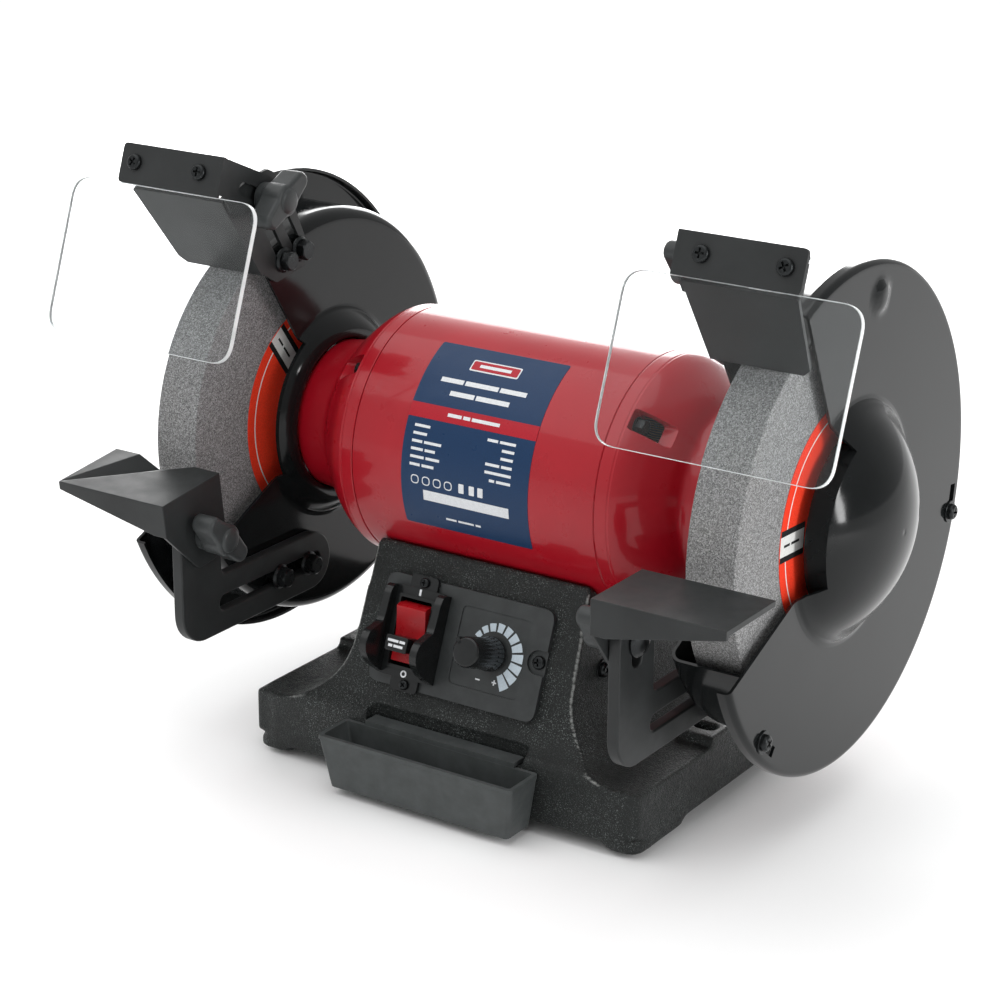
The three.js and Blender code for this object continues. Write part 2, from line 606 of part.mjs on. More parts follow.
// Ball bearing with a shield set back between its rings.
addPair('bearing', turned([[102.5, 8.9], [114.5, 8.9], [114.5, 12], [113, 12], [113, 16.5], [114.5, 16.5],
  [114.5, 20],
  [102.5, 20], [102.5, 8.9]], 20), MATERIAL.steel);

// ---------------------------------------------------------------- wheels

const WHEEL_IN = WHEEL_CENTRE - WHEEL_WIDTH / 2;
const WHEEL_OUT = WHEEL_CENTRE + WHEEL_WIDTH / 2;
const BLOTTER = 0.6;
const BORE = SPINDLE_RADIUS + GAP + 0.05;
addPair('grinding_wheel', ring(WHEEL_IN, WHEEL_OUT, BORE, WHEEL_RADIUS, 48), MATERIAL.abrasive);

// Relieved clamping flange: it presses on the wheel only near its rim.
function flange(face, outward) {
  const at = (depth) => face + outward * depth;
  return turned([[at(1.2), BORE], [at(1.2), 25], [at(0), 25], [at(0), 35], [at(2.5), 35], [at(5), 22],
    [at(6), 22],
    [at(6), BORE], [at(1.2), BORE]], 16);
}
addPair('inner_flange', flange(WHEEL_IN - BLOTTER, -1), MATERIAL.steel);
addPair('outer_flange', flange(WHEEL_OUT + BLOTTER, 1), MATERIAL.steel);
const NUT_FACE = WHEEL_OUT + BLOTTER + 6 + GAP;
addPair('arbor_nut', hexagon(NUT_FACE, NUT_FACE + 12, 24, 0,
  0).subtract(bar(NUT_FACE - 1, NUT_FACE + 13, BORE)),
  MATERIAL.darkSteel);

// ---------------------------------------------------------------- wheel guards

const OPENING = { from: -25.5, to: 57.5, hub: 51 }; // the guard's mouth towards the user
const COVER_OPENING = { from: -23, to: 64.5, hub: 46 };

// Pressed pan beside the motor: dished collar, flat plate, rounded corner and drum.
function guardShell() {
  const arc = (radius, corner) => Array.from({ length: 3 }, (_, i) => {
    const angle = (i / 2) * Math.PI / 2;
    return [GUARD_FACE + GUARD_CORNER - radius * Math.cos(angle), corner + radius * Math.sin(angle)];
  });
  const corner = GUARD_RADIUS - GUARD_CORNER;
  const edge = COVER_FACE - SHEET - 0.4;
  const outer = [[123.5, 39.2], [121.4, 41.5], [122.4, 46.2], [126, 50.8], [GUARD_FACE, 54],
    ...arc(GUARD_CORNER, corner), [edge, GUARD_RADIUS]];
  const inner = [[edge, GUARD_RADIUS - SHEET], ...arc(GUARD_CORNER - SHEET, corner).reverse(),
    [GUARD_FACE + SHEET, 53.3], [127.1, 49.6], [123.8, 45.5], [123, 42], [123.5, 39.2]];
  const body = turned([...outer, ...inner], 36);
  const mouth = sidePlate(sector(OPENING.hub, 150, OPENING.from, OPENING.to), 110, 180, 10);
  const lugs = COVER_SCREW_ANGLES.map((angle) => {
    const place = new THREE.BoxGeometry(SHEET, 13, 13).translate(edge - SHEET / 2, 0, GUARD_RADIUS + 5.5);
    return solid(place.rotateX(radians(90 - angle)));
  });
  const holes = COVER_SCREW_ANGLES.map((angle) => {
    const { y, z } = atAngle(COVER_SCREW_RADIUS, angle);
    return bar(160, 175, 2.2, y, z, 8);
  });
  const bolts = [...BRACKET_BOLT_Y.map((y) => ({ y, z: BRACKET_BOLT_Z })), ...LEG_BOLTS].map(({ y, z }) =>
    bar(GUARD_FACE - 2, GUARD_FACE + 4, 3.4, y, z, 10));
  return cut(join(body.subtract(mouth), ...lugs), ...holes, ...bolts);
}
addPair('guard_shell', guardShell(), MATERIAL.blackGuard);

// [rise, radius] on the cover's pressed dome at a fraction of its radius.
function domePoint(fraction) {
  const sphere = (DOME_RADIUS ** 2 + DOME_HEIGHT ** 2) / (2 * DOME_HEIGHT);
  const radius = DOME_RADIUS * fraction;
  return [Math.sqrt(sphere ** 2 - radius ** 2) - (sphere - DOME_HEIGHT), radius];
}

function guardCover() {
  const steps = 5;
  const dome = (offset) => Array.from({ length: steps }, (_, i) => {
    const [rise, radius] = domePoint(i / steps);
    return [COVER_FACE - offset + rise, radius];
  });
  const foot = (offset) => [[COVER_FACE - offset, DOME_RADIUS + 1.5]];
  const round = 3;
  const rim = (inset) => [[COVER_FACE - inset, COVER_RADIUS - round],
    [COVER_FACE - 0.9 - inset * 0.8, COVER_RADIUS - 0.9 -
    inset * 0.8], [COVER_FACE - round, COVER_RADIUS - inset], [COVER_FACE - COVER_RIM, COVER_RADIUS - inset]];
  const outline = [...dome(0), ...foot(0), ...rim(0), ...rim(SHEET).reverse(), ...foot(SHEET).reverse(),
    ...dome(SHEET).reverse()];
  const body = turned(outline, 36);
  const mouth = sidePlate(sector(COVER_OPENING.hub, 150, COVER_OPENING.from, COVER_OPENING.to), 160, 210, 10);
  const lipReach = COVER_FACE + 9.6;
  const lip = ring(COVER_FACE - 0.5, lipReach, COVER_OPENING.hub - SHEET, COVER_OPENING.hub, 40)
    .intersect(sidePlate(sector(20, 150, COVER_OPENING.from - 9, COVER_OPENING.to + 4), 160, 210, 4));
  const slots = COVER_SCREW_ANGLES.map((angle) => sidePlate(
    sector(COVER_SCREW_RADIUS - 2.6, COVER_SCREW_RADIUS + 2.6, angle - 7, angle + 2.4), 160, 180, 2));
  return cut(join(body.subtract(mouth), lip), ...slots);
}
addPair('guard_cover', guardCover(), MATERIAL.blackGuard);

// ---------------------------------------------------------------- spark deflectors and eye shields

const LEG_HEADING = { y: 0.52, z: -0.854 }; // the way the deflector slides towards the wheel
const LEG_OUTER = LEG_INNER + LEG_THICKNESS;

// Bent sheet: a radial plate across the wheel's mouth and a slotted leg on the guard's side.
function sparkDeflector() {
  const low = atAngle(DEFLECTOR_BOTTOM, DEFLECTOR_ANGLE);
  const high = atAngle(DEFLECTOR_TOP, DEFLECTOR_ANGLE);
  const face = new THREE.Shape();
  face.moveTo(LEG_INNER, DEFLECTOR_BOTTOM);
  face.lineTo(174, DEFLECTOR_BOTTOM);
  face.lineTo(178, DEFLECTOR_BOTTOM + 4);
  face.lineTo(184, DEFLECTOR_TOP);
  face.lineTo(LEG_INNER, DEFLECTOR_TOP);
  // drawn in (x, radius), then stood up in the radial plane
  const plane = new THREE.Matrix4().makeBasis(
    new THREE.Vector3(1, 0, 0),
    new THREE.Vector3(0, -Math.cos(radians(DEFLECTOR_ANGLE)), Math.sin(radians(DEFLECTOR_ANGLE))),
    new THREE.Vector3(0, -Math.sin(radians(DEFLECTOR_ANGLE)), -Math.cos(radians(DEFLECTOR_ANGLE))));
  const flat = new THREE.ExtrudeGeometry(face, { depth: LEG_THICKNESS, bevelEnabled: false });
  const leg = polygon([[low.y - 0.8, low.z - 0.5], [-48, 79.5], [-25, 83.5], [-22, 93], [-34, 118],
    [-44, 133],
    [-53, 138], [-68, 135.5], [high.y - 0.8, high.z - 0.5]]);
  const along = ({ y, z }, distance) => ({ y: y + LEG_HEADING.y * distance,
    z: z + LEG_HEADING.z * distance });
  const slots = LEG_BOLTS.map((bolt) => sidePlate(slotShape(along(bolt, -22), along(bolt, 3), 3.2),
    LEG_INNER - 1, LEG_OUTER + 1, 4));
  const stud = bar(LEG_INNER - 2, LEG_OUTER + 6, 3.4, SHIELD_STUD.y, SHIELD_STUD.z, 12);
  const nut = hexagon(LEG_OUTER - 0.5, LEG_OUTER + 4, 11, SHIELD_STUD.y, SHIELD_STUD.z);
  return cut(join(sidePlate(leg, LEG_INNER, LEG_OUTER), solid(flat.applyMatrix4(plane)), nut), ...slots,
    stud);
}
addPair('spark_deflector', sparkDeflector(), MATERIAL.blackSteel);

// Hexagon flange bolt along X; its head faces the motor, its nut holds the guard from inside.
function flangeBolt(head, grip, y, z) {
  const flangeDisc = bar(head - 1.4, head, 6.4, y, z, 14);
  const shank = bar(head - 0.5, grip + 3.6, 2.9, y, z, 8);
  return join(hexagon(head - 6, head - 1, 9, y, z), flangeDisc, shank);
}
const GUARD_INSIDE = GUARD_FACE + SHEET;
LEG_BOLTS.forEach(({ y, z }, i) => addPair(`deflector_bolt_${i + 1}`,
  flangeBolt(LEG_INNER - GAP, GUARD_INSIDE, y, z), MATERIAL.darkSteel));
BRACKET_BOLT_Y.forEach((y, i) => addPair(`bracket_bolt_${i + 1}`,
  flangeBolt(BAR_INNER - GAP, GUARD_INSIDE, y, BRACKET_BOLT_Z), MATERIAL.darkSteel));

// Frame of the eye shield: y up along the sheet, z out towards the user, origin under the strip.
const onShield = (body) => moved(body, (geometry) =>
  geometry.rotateX(radians(90 - SHIELD_TILT)).translate(0, STRIP.y, STRIP.z));
const SHIELD_SCREWS = [138.5, 179];
const SCREW_HEIGHT = 10.5;

function shieldBracket() {
  const strip = flatPlate(roundedRectangle(STRIP.inner, 0, STRIP.outer, STRIP.height, 2), -STRIP.thickness, 0,
  3);
  const holes = SHIELD_SCREWS.map((x) => post(-9, 3, 2.3, x, SCREW_HEIGHT, 8));
  const cheek = new THREE.Shape();
  cheek.moveTo(STRIP.y + 0.4, STRIP.z + 1.2);
  cheek.lineTo(-88.6, 150);
  cheek.absarc(SHIELD_STUD.y, SHIELD_STUD.z, 11, radians(64), radians(-110), true);
  cheek.lineTo(-83, 121);
  cheek.lineTo(-89.4, 131);
  const slot = slotShape({ y: -75, z: 132.2 }, SHIELD_STUD, 3.4);
  const side = sidePlate(cheek, STRIP.inner, STRIP.inner + STRIP.thickness, 8);
  return cut(join(cut(onShield(strip), onShield(join(...holes))), side),
    sidePlate(slot, STRIP.inner - 1, STRIP.inner + 4, 4));
}
addPair('shield_bracket', shieldBracket(), MATERIAL.blackSteel);

function eyeShield() {
  const back = -STRIP.thickness - GAP;
  const sheet = roundedRectangle(SHIELD_X - SHIELD_WIDTH / 2, -SHIELD_DROP, SHIELD_X + SHIELD_WIDTH / 2, 0,
    11);
  const tab = roundedRectangle(STRIP.inner + 4, -6, STRIP.outer - 1, STRIP.height - 1.5, 3);
  const body = flatPlate(sheet, back - SHIELD_THICKNESS, back,
    5).add(flatPlate(tab, back - SHIELD_THICKNESS, back, 3));
  return onShield(cut(body, ...SHIELD_SCREWS.map((x) => post(-9, 3, 2.3, x, SCREW_HEIGHT, 8))));
}
addPair('eye_shield', eyeShield(), MATERIAL.clear);

// Two-winged clamping knob along X: its threaded stud points away from the motor.
function wingKnob(face, studEnd, y, z, turn) {
  const shape = new THREE.Shape();
  shape.absarc(0, 0, 8, radians(35), radians(145));
  shape.absarc(-13.5, 0, 4.6, radians(110), radians(250));
  shape.absarc(0, 0, 8, radians(215), radians(325));
  shape.absarc(13.5, 0, 4.6, radians(-70), radians(70));
  const wings = new THREE.ExtrudeGeometry(shape, { depth: 13, bevelEnabled: false, curveSegments: 3 });
  wings.applyMatrix4(new THREE.Matrix4().set(0, 0, 1, -16, 1, 0, 0, 0, 0, 1, 0, 0, 0, 0, 0, 1));
  const grip = solid(wings.rotateX(radians(turn)).translate(face, y, z));
  const collar = bar(face - 4, face, 7.5, y, z, 12);
  return studEnd > face ? join(grip, collar, bar(face - 1, studEnd, 3, y, z, 12)) : join(grip, collar);
}
const KNOB_TURN = { rightShield: -42, leftShield: 35, rests: -45 };
const shieldKnob = (turn) => wingKnob(STRIP.inner - GAP, LEG_OUTER + 5, SHIELD_STUD.y, SHIELD_STUD.z, turn);
add('right_shield_knob', shieldKnob(KNOB_TURN.rightShield), MATERIAL.blackPlastic);
addLeft('shield_knob', shieldKnob(KNOB_TURN.leftShield), MATERIAL.blackPlastic);

// ---------------------------------------------------------------- tool rests

const BAR_OUTER = BAR_INNER + BAR_THICKNESS;

// L-shaped bar in the Y-Z plane with a slot along each arm.
function restBracket() {
  const half = BAR_WIDTH / 2;
  const armX = BAR_FRONT + half;
  const armTop = REST_STUD.z + 16;
  const footZ = BAR_BOTTOM + half;
  const shape = new THREE.Shape();
  shape.absarc(armX, armTop - half, half, 0, Math.PI);
  shape.absarc(BAR_FRONT + 17, BAR_BOTTOM + 17, 17, Math.PI, 1.5 * Math.PI);
  shape.absarc(BAR_END - half, footZ, half, -Math.PI / 2, Math.PI / 2);
  shape.absarc(armX + half + 4, footZ + half + 4, 4, 1.5 * Math.PI, Math.PI, true);
  const foot = slotShape({ y: -104, z: BRACKET_BOLT_Z }, { y: -30.6, z: BRACKET_BOLT_Z }, 4.2);
  const arm = slotShape({ y: REST_STUD.y, z: REST_STUD.z - 9 }, { y: REST_STUD.y, z: REST_STUD.z + 4.6 },
    4.2);
  return cut(sidePlate(shape, BAR_INNER, BAR_OUTER, 6), sidePlate(foot, BAR_INNER - 1, BAR_OUTER + 1, 5),
    sidePlate(arm, BAR_INNER - 1, BAR_OUTER + 1, 5));
}
addPair('rest_bracket', restBracket(), MATERIAL.blackSteel, LEFT_REST.slide);

// Pressed rest: top plate, front flange that narrows outwards, side flange on the bracket bar.
function toolRest() {
  const outer = REST_INNER + REST_WIDTH;
  const top = block([REST_INNER, REST_FRONT, REST_TOP - 3], [outer, REST_BACK, REST_TOP]);
  const front = frontPlate(polygon([[REST_INNER, REST_TOP - 1], [REST_INNER, -18.7], [REST_INNER + 8, -18.7],
    [outer, REST_TOP - 4.5], [outer, REST_TOP - 1]]), REST_FRONT, REST_FRONT + 2.2);
  const side = sidePlate(polygon([[REST_FRONT, REST_TOP - 1], [REST_FRONT, -18.7], [-128, -44], [-114, -44],
    [REST_BACK, -31], [REST_BACK, REST_TOP - 1]]), REST_INNER, REST_INNER + 2);
  const stud = bar(REST_INNER - 1, REST_INNER + 4, 3.6, REST_STUD.y, REST_STUD.z, 12);
  return cut(join(top, front, side), stud);
}

// V-fold of the left rest, which guides a twist drill while it is sharpened: deepest at the back edge and
// run out to nothing at the front outer corner. Lowered by drop, it is the solid below the fold's faces;
// open, the space above them.
function groove(drop, open) {
  const corner = new THREE.Vector3(REST_INNER + REST_WIDTH, REST_FRONT, REST_TOP - drop);
  const reach = 1.1; // the fold runs past the back edge
  const back = (x, depth) => new THREE.Vector3(x, REST_BACK, REST_TOP - drop - depth).sub(corner)
    .multiplyScalar(reach).add(corner);
  const fold = [corner, back(GROOVE.steep, 0), back(GROOVE.bottom, GROOVE.depth), back(GROOVE.gentle, 0)];
  const lift = new THREE.Vector3(0, 0, 3);
  const raised = open ? [fold[1].clone().add(lift), fold[3].clone().add(lift), corner.clone().add(lift)] : [];
  return solid(new ConvexGeometry([...fold, ...raised]));
}

function leftRest() {
  const plate = block([REST_INNER, REST_FRONT + 2, REST_TOP - 3 - GROOVE.depth],
  [REST_INNER + REST_WIDTH, REST_BACK,
    REST_TOP - 1]);
  const folded = cut(toolRest().add(groove(3, false).intersect(plate)), groove(0, true));
  return moved(folded, (geometry) => geometry.translate(0, -REST_STUD.y,
    -REST_STUD.z).rotateX(radians(LEFT_REST.tilt))
    .translate(0, REST_STUD.y, REST_STUD.z));
}
add('right_tool_rest', toolRest(), MATERIAL.blackSteel);
addLeft('tool_rest', leftRest(), MATERIAL.blackSteel, LEFT_REST.slide, LEFT_REST.drop);

// Coach bolt that carries the rest: its head bears on the bar, its thread ends in the knob.
const coachBolt = join(bar(BAR_OUTER + GAP, BAR_OUTER + 4, 8, REST_STUD.y, REST_STUD.z, 14),
  bar(REST_INNER - 9, BAR_OUTER + 1, 3, REST_STUD.y, REST_STUD.z, 12));
addPair('rest_bolt', coachBolt, MATERIAL.darkSteel, LEFT_REST.slide, LEFT_REST.drop);
const restKnob = wingKnob(REST_INNER - GAP, 0, REST_STUD.y, REST_STUD.z, KNOB_TURN.rests);
addPair('rest_knob', cut(restKnob, bar(REST_INNER - 9.6, REST_INNER + 2, 3.4, REST_STUD.y, REST_STUD.z, 12)),
  MATERIAL.blackPlastic, LEFT_REST.slide, LEFT_REST.drop);

export default model;
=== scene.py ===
"""Bench grinder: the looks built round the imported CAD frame.

Lengths in this file are millimetres from the middle of the spindle, as in the CAD source: +X to the
right-hand wheel, -Y towards the user, +Z up. place() turns them into metres in the frame. Right-hand
pieces are made once and mirrored.
"""
import json
import math

import bmesh
import bpy
import numpy as np
from mathutils import Matrix, Vector


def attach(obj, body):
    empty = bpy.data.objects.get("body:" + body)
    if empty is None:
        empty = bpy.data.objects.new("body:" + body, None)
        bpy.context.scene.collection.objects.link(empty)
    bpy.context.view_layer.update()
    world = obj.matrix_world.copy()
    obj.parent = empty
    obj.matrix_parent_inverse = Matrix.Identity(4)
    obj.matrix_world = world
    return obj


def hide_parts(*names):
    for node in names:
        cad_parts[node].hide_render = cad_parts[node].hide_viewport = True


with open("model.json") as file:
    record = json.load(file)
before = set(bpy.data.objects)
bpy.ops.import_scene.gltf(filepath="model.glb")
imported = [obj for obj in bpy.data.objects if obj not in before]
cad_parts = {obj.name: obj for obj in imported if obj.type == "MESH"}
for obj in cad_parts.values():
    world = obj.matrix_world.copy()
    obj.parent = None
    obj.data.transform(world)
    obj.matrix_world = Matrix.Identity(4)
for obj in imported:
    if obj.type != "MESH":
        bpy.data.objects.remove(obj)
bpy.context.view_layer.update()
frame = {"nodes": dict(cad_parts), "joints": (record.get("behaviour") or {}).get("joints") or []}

MM = 0.001
SPINDLE = Vector(next(j["pos_m"] for j in frame["joints"] if j["name"] == "spindle_spin"))
scene = bpy.context.scene

# ---- dimensions shared with the CAD

WHEEL_RADIUS, WHEEL_IN, WHEEL_OUT = 100, 139.8, 164.8
BORE = 8.35
BLOTTER_RADIUS = 59.1
MOTOR_RADIUS, MOTOR_HALF = 64.2, 70
SHEET = 1.5
GAP = 0.3
GUARD_FACE, GUARD_RADIUS, GUARD_CORNER, GUARD_EDGE = 129.6, 106.5, 7, 169.4
COVER_FACE, COVER_RADIUS, COVER_RIM = 171.3, 122.5, 6.5
COVER_SCREW_RADIUS, COVER_SCREW_ANGLES = 114.5, (-46, -166)
DOME_RADIUS, DOME_HEIGHT = 56, 27
BUMP = (105.5, 100)
BASE_HALF, BASE_FRONT, BASE_REAR, BASE_CORNER = 113.5, -91, 88, 15
BASE_TOP, SKIRT_BOTTOM, PAD_BOTTOM = -122, -150, -153.4
PEDESTAL_TOP, PEDESTAL_HALF, COVE_RADIUS = -41, 64.5, 36
FACE_SLOPE, FACE_TOP_Y, FACE_CENTRE_Z = 0.39, -52.4, -80
FOOT_X, FOOT_Y, BENCH_Z = 101, (-72, 69), -156
CORD_X, CORD_Z = 60, -136
SWITCH_X, DIAL_X = -28, 18
PLATE_SCREW, SWITCH_SCREW_X, SWITCH_SCREW_Y = (44, 1.6), SWITCH_X + 1.5, 25.6
TRAY_X, TRAY_TOP, TRAY_HEIGHT, TRAY_WIDTH, TRAY_DEPTH = 2, -123.4, 28, 114, 24
BAR_IN, BAR_OUT, BAR_FRONT, BAR_WIDTH, BAR_BOTTOM, BAR_END = 123.3, 129.3, -136.5, 30.5, -89.3, -17.5
REST_STUD = (-121.2, -28)
REST_IN, REST_WIDTH, REST_TOP, REST_BACK, REST_FRONT = 121, 67, -1.5, -105, -148.5
LEFT_SLIDE, LEFT_DROP, LEFT_TILT = 4, 4, 7
GROOVE = ((172.3, 0), (159.8, 6.4), (136.7, 0))
BRACKET_BOLT_Z = -74
BRACKET_BOLTS = ((-56, BRACKET_BOLT_Z), (-32.6, BRACKET_BOLT_Z))
LEG_BOLTS = ((-42.5, 90), (-29.5, 93))
LEG_IN, LEG_OUT = 127.3, 129.3
DEFLECTOR_ANGLE, DEFLECTOR_BOTTOM, DEFLECTOR_TOP = 56, 104.5, 155
SHIELD_STUD = (-60, 125.5)
SHIELD_TILT, SHIELD_X, SHIELD_WIDTH, SHIELD_DROP, SHIELD_THICKNESS = 20, 159.8, 115.5, 78, 3
STRIP_IN, STRIP_OUT, STRIP_HEIGHT, STRIP_Y, STRIP_Z, STRIP_THICKNESS = 125.2, 188, 19.7, -95.2, 131.7, 1.8

# ---- outlines


def arc(centre, radius, start, end, steps=12):
    """Points of an arc in degrees, both ends included."""
    angles = np.radians(np.linspace(start, end, steps + 1))
    return [(centre[0] + radius * math.cos(a), centre[1] + radius * math.sin(a)) for a in angles]


def circle(centre, radius, steps=32):
    return arc(centre, radius, 0, 360, steps)[:-1]


def rounded(corners, radius, steps=5):
    """Polygon with every corner rounded: corners are (a, b) or (a, b, its own radius)."""
    points = []
    for i, corner in enumerate(corners):
        here = Vector(corner[:2])
        back = (Vector(corners[i - 1][:2]) - here)
        ahead = (Vector(corners[(i + 1) % len(corners)][:2]) - here)
        size = corner[2] if len(corner) > 2 else radius
        half = back.angle(ahead) / 2
        reach = min(size / math.tan(half), 0.49 * min(back.length, ahead.length))
        if reach < 1e-3:
            points.append(tuple(here))
            continue
        start, end = here + back.normalized() * reach, here + ahead.normalized() * reach
        for t in np.linspace(0, 1, steps + 1):
            points.append(tuple((1 - t) ** 2 * start + 2 * t * (1 - t) * here + t ** 2 * end))
    return points


def rectangle(x0, y0, x1, y1, radius=0.0, steps=6):
    return rounded([(x0, y0), (x1, y0), (x1, y1), (x0, y1)], radius, steps)


def slot(start, end, radius, steps=8):
    heading = math.degrees(math.atan2(end[1] - start[1], end[0] - start[0]))
    ends = ((end, heading - 90), (start, heading + 90))
    return [point for centre, first in ends for point in arc(centre, radius, first, first + 180, steps)]


def sector(inner, outer, start, end, steps=32):
    """Ring sector in (y, z). Angles rise from the user's side (-Y) upwards."""
    first, last = 180 - start, 180 - end
    return arc((0, 0), outer, first, last, steps) + arc((0, 0), inner, last, first, steps)


def polar(radius, angle):
    """(y, z) at an angle that rises from the user's side upwards."""
    return -radius * math.cos(math.radians(angle)), radius * math.sin(math.radians(angle))


def smooth_line(points, steps=6):
    """Catmull-Rom curve through the points."""
    p = [Vector(points[0])] + [Vector(q) for q in points] + [Vector(points[-1])]
    line = []
    for a, b, c, d in zip(p, p[1:], p[2:], p[3:]):
        for t in np.linspace(0, 1, steps, endpoint=False):
            line.append(tuple(0.5 * (2 * b + (c - a) * t + (2 * a - 5 * b + 4 * c - d) * t ** 2
                                     + (3 * b - a - 3 * c + d) * t ** 3)))
    return line + [tuple(points[-1])]


def sheet_outline(line, thickness):
    """Closed outline of a sheet of that thickness with its middle on the line."""
    p = np.array(line, float)
    along = np.gradient(p, axis=0)
    along /= np.linalg.norm(along, axis=1)[:, None]
    across = np.stack([-along[:, 1], along[:, 0]], axis=1) * thickness / 2
    outline = [tuple(q) for q in p + across] + [tuple(q) for q in (p - across)[::-1]]
    return outline + outline[:1]


# ---- solids


def place(point):
    return SPINDLE + Vector(point) * MM


def linked(data, name="piece"):
    made = bpy.data.objects.new(name, data)
    scene.collection.objects.link(made)
    return made


def from_bmesh(shape, mesh=None):
    mesh = mesh or bpy.data.meshes.new("piece")
    shape.to_mesh(mesh)
    shape.free()
    return linked(mesh)


def solid(points, faces):
    mesh = bpy.data.meshes.new("piece")
    mesh.from_pydata([place(p) for p in points], [], faces)
    shape = bmesh.new()
    shape.from_mesh(mesh)
    bmesh.ops.remove_doubles(shape, verts=shape.verts, dist=2e-6)
    bmesh.ops.recalc_face_normals(shape, faces=shape.faces)
    return from_bmesh(shape, mesh)


def turned(outline, steps=128, y=0.0, z=0.0):
    """(x, radius) points turned about a line along X. The outline closes on itself or ends on the axis."""
    points, faces = [], []
    angles = np.linspace(0, 2 * math.pi, steps, endpoint=False)
    for x, radius in outline:
        points += [(x, y + radius * math.cos(a), z + radius * math.sin(a)) for a in angles]
    for row in range(len(outline) - 1):
        for i in range(steps):
            j = (i + 1) % steps
            faces.append((row * steps + i, row * steps + j, (row + 1) * steps + j, (row + 1) * steps + i))
    return solid(points, faces)


def ring(x0, x1, inner, outer, chamfer=0.4, steps=96):
    return turned([(x0, inner), (x0, outer - chamfer), (x0 + chamfer, outer), (x1 - chamfer, outer),
                   (x1, outer - chamfer), (x1, inner), (x0, inner)], steps)


def rod(x0, x1, radius, y=0.0, z=0.0, chamfer=0.3, steps=32):
    return turned([(x0, 0), (x0, radius - chamfer), (x0 + chamfer, radius), (x1 - chamfer, radius),
                   (x1, radius - chamfer), (x1, 0)], steps, y, z)


def loft(low, high):
    """Solid between two outlines with the same number of points."""
    count = len(low)
    walls = [(i, (i + 1) % count, count + (i + 1) % count, count + i) for i in range(count)]
    return solid(low + high, [tuple(range(count)), tuple(range(count, 2 * count)), *walls])


def prism(outline, axis, low, high):
    """Flat outline pushed along an axis: the outline is in (y, z) for X, (x, z) for Y and (x, y) for Z."""
    lift = {"X": lambda a, b, c: (c, a, b),
            "Y": lambda a, b, c: (a, c, b),
            "Z": lambda a, b, c: (a, b, c)}[axis]
    return loft(*([lift(a, b, level) for a, b in outline] for level in (low, high)))


def block(low, high, radius=0.0, steps=6):
    """Upright block between two corners, its four upright edges rounded."""
    return prism(rectangle(*low[:2], *high[:2], radius, steps), "Z", low[2], high[2])


def settle(piece):
    """Applies the piece's modifiers to its mesh."""
    graph = bpy.context.evaluated_depsgraph_get()
    made = bpy.data.meshes.new_from_object(piece.evaluated_get(graph))
    piece.modifiers.clear()
    piece.data = made
    return piece


def combine(piece, others, operation):
    for other in others:
        step = piece.modifiers.new("boolean", "BOOLEAN")
        step.operation, step.solver, step.object = operation, "EXACT", other
        settle(piece)
        bpy.data.objects.remove(other)
    return piece


def cut(piece, *cutters):
    return combine(piece, cutters, "DIFFERENCE")


def fuse(piece, *others):
    return combine(piece, others, "UNION")


def overlap(piece, *others):
    return combine(piece, others, "INTERSECT")


def gather(*parts):
    """Several closed bodies in one piece."""
    joined = bmesh.new()
    for part in parts:
        joined.from_mesh(part.data)
        bpy.data.objects.remove(part)
    return from_bmesh(joined)


def move(piece, matrix):
    """Moves a piece's mesh by a matrix that is in millimetres from the spindle."""
    metres = matrix.copy()
    metres.translation = metres.translation * MM
    shift = Matrix.Translation(SPINDLE)
    piece.data.transform(shift @ metres @ shift.inverted())
    return piece


def spun(angle, axis="X"):
    return Matrix.Rotation(math.radians(angle), 4, axis)


def turn_at(at, angle):
    """Turns about X, then moves to a point."""
    return Matrix.Translation(at) @ spun(angle)


def aim(piece, direction, at, spin=0.0):
    """Takes a piece made along +X at the spindle's middle, points it along a direction and moves it there."""
    turn = Vector(direction).to_track_quat("X", "Z").to_matrix().to_4x4()
    return move(piece, Matrix.Translation(at) @ turn @ spun(spin))


FACE_TILT = math.atan(FACE_SLOPE)
FACE_CENTRE = Vector((0, FACE_TOP_Y + FACE_SLOPE * (FACE_CENTRE_Z - PEDESTAL_TOP), FACE_CENTRE_Z))
ON_FACE = Matrix.Translation(FACE_CENTRE) @ Matrix.Rotation(math.pi / 2 - FACE_TILT, 4, "X")
FACE_NORMAL = (ON_FACE.to_3x3() @ Vector((0, 0, 1))).normalized()
ON_SHIELD = turn_at((0, STRIP_Y, STRIP_Z), 90 - SHIELD_TILT)


def on_face(piece):
    """From the control face's own frame: x across, y up the slope, z out of it."""
    return move(piece, ON_FACE)


def on_shield(piece):
    """From the eye shield's own frame: x across, y up the sheet, z out towards the user."""
    return move(piece, ON_SHIELD)


def edges(piece, width, angle=32, segments=3):
    """Rounds the piece's sharp edges and smooths its shading."""
    step = piece.modifiers.new("edges", "BEVEL")
    step.width, step.segments, step.limit_method = width * MM, segments, "ANGLE"
    step.angle_limit, step.miter_outer, step.use_clamp_overlap = math.radians(angle), "MITER_ARC", True
    return smooth(piece, angle)


def smooth(piece, angle=32):
    piece.data.shade_smooth()
    piece.data.set_sharp_from_angle(angle=math.radians(angle))
    step = piece.modifiers.new("normals", "WEIGHTED_NORMAL")
    step.keep_sharp, step.weight = True, 60
    return piece


# ---- materials


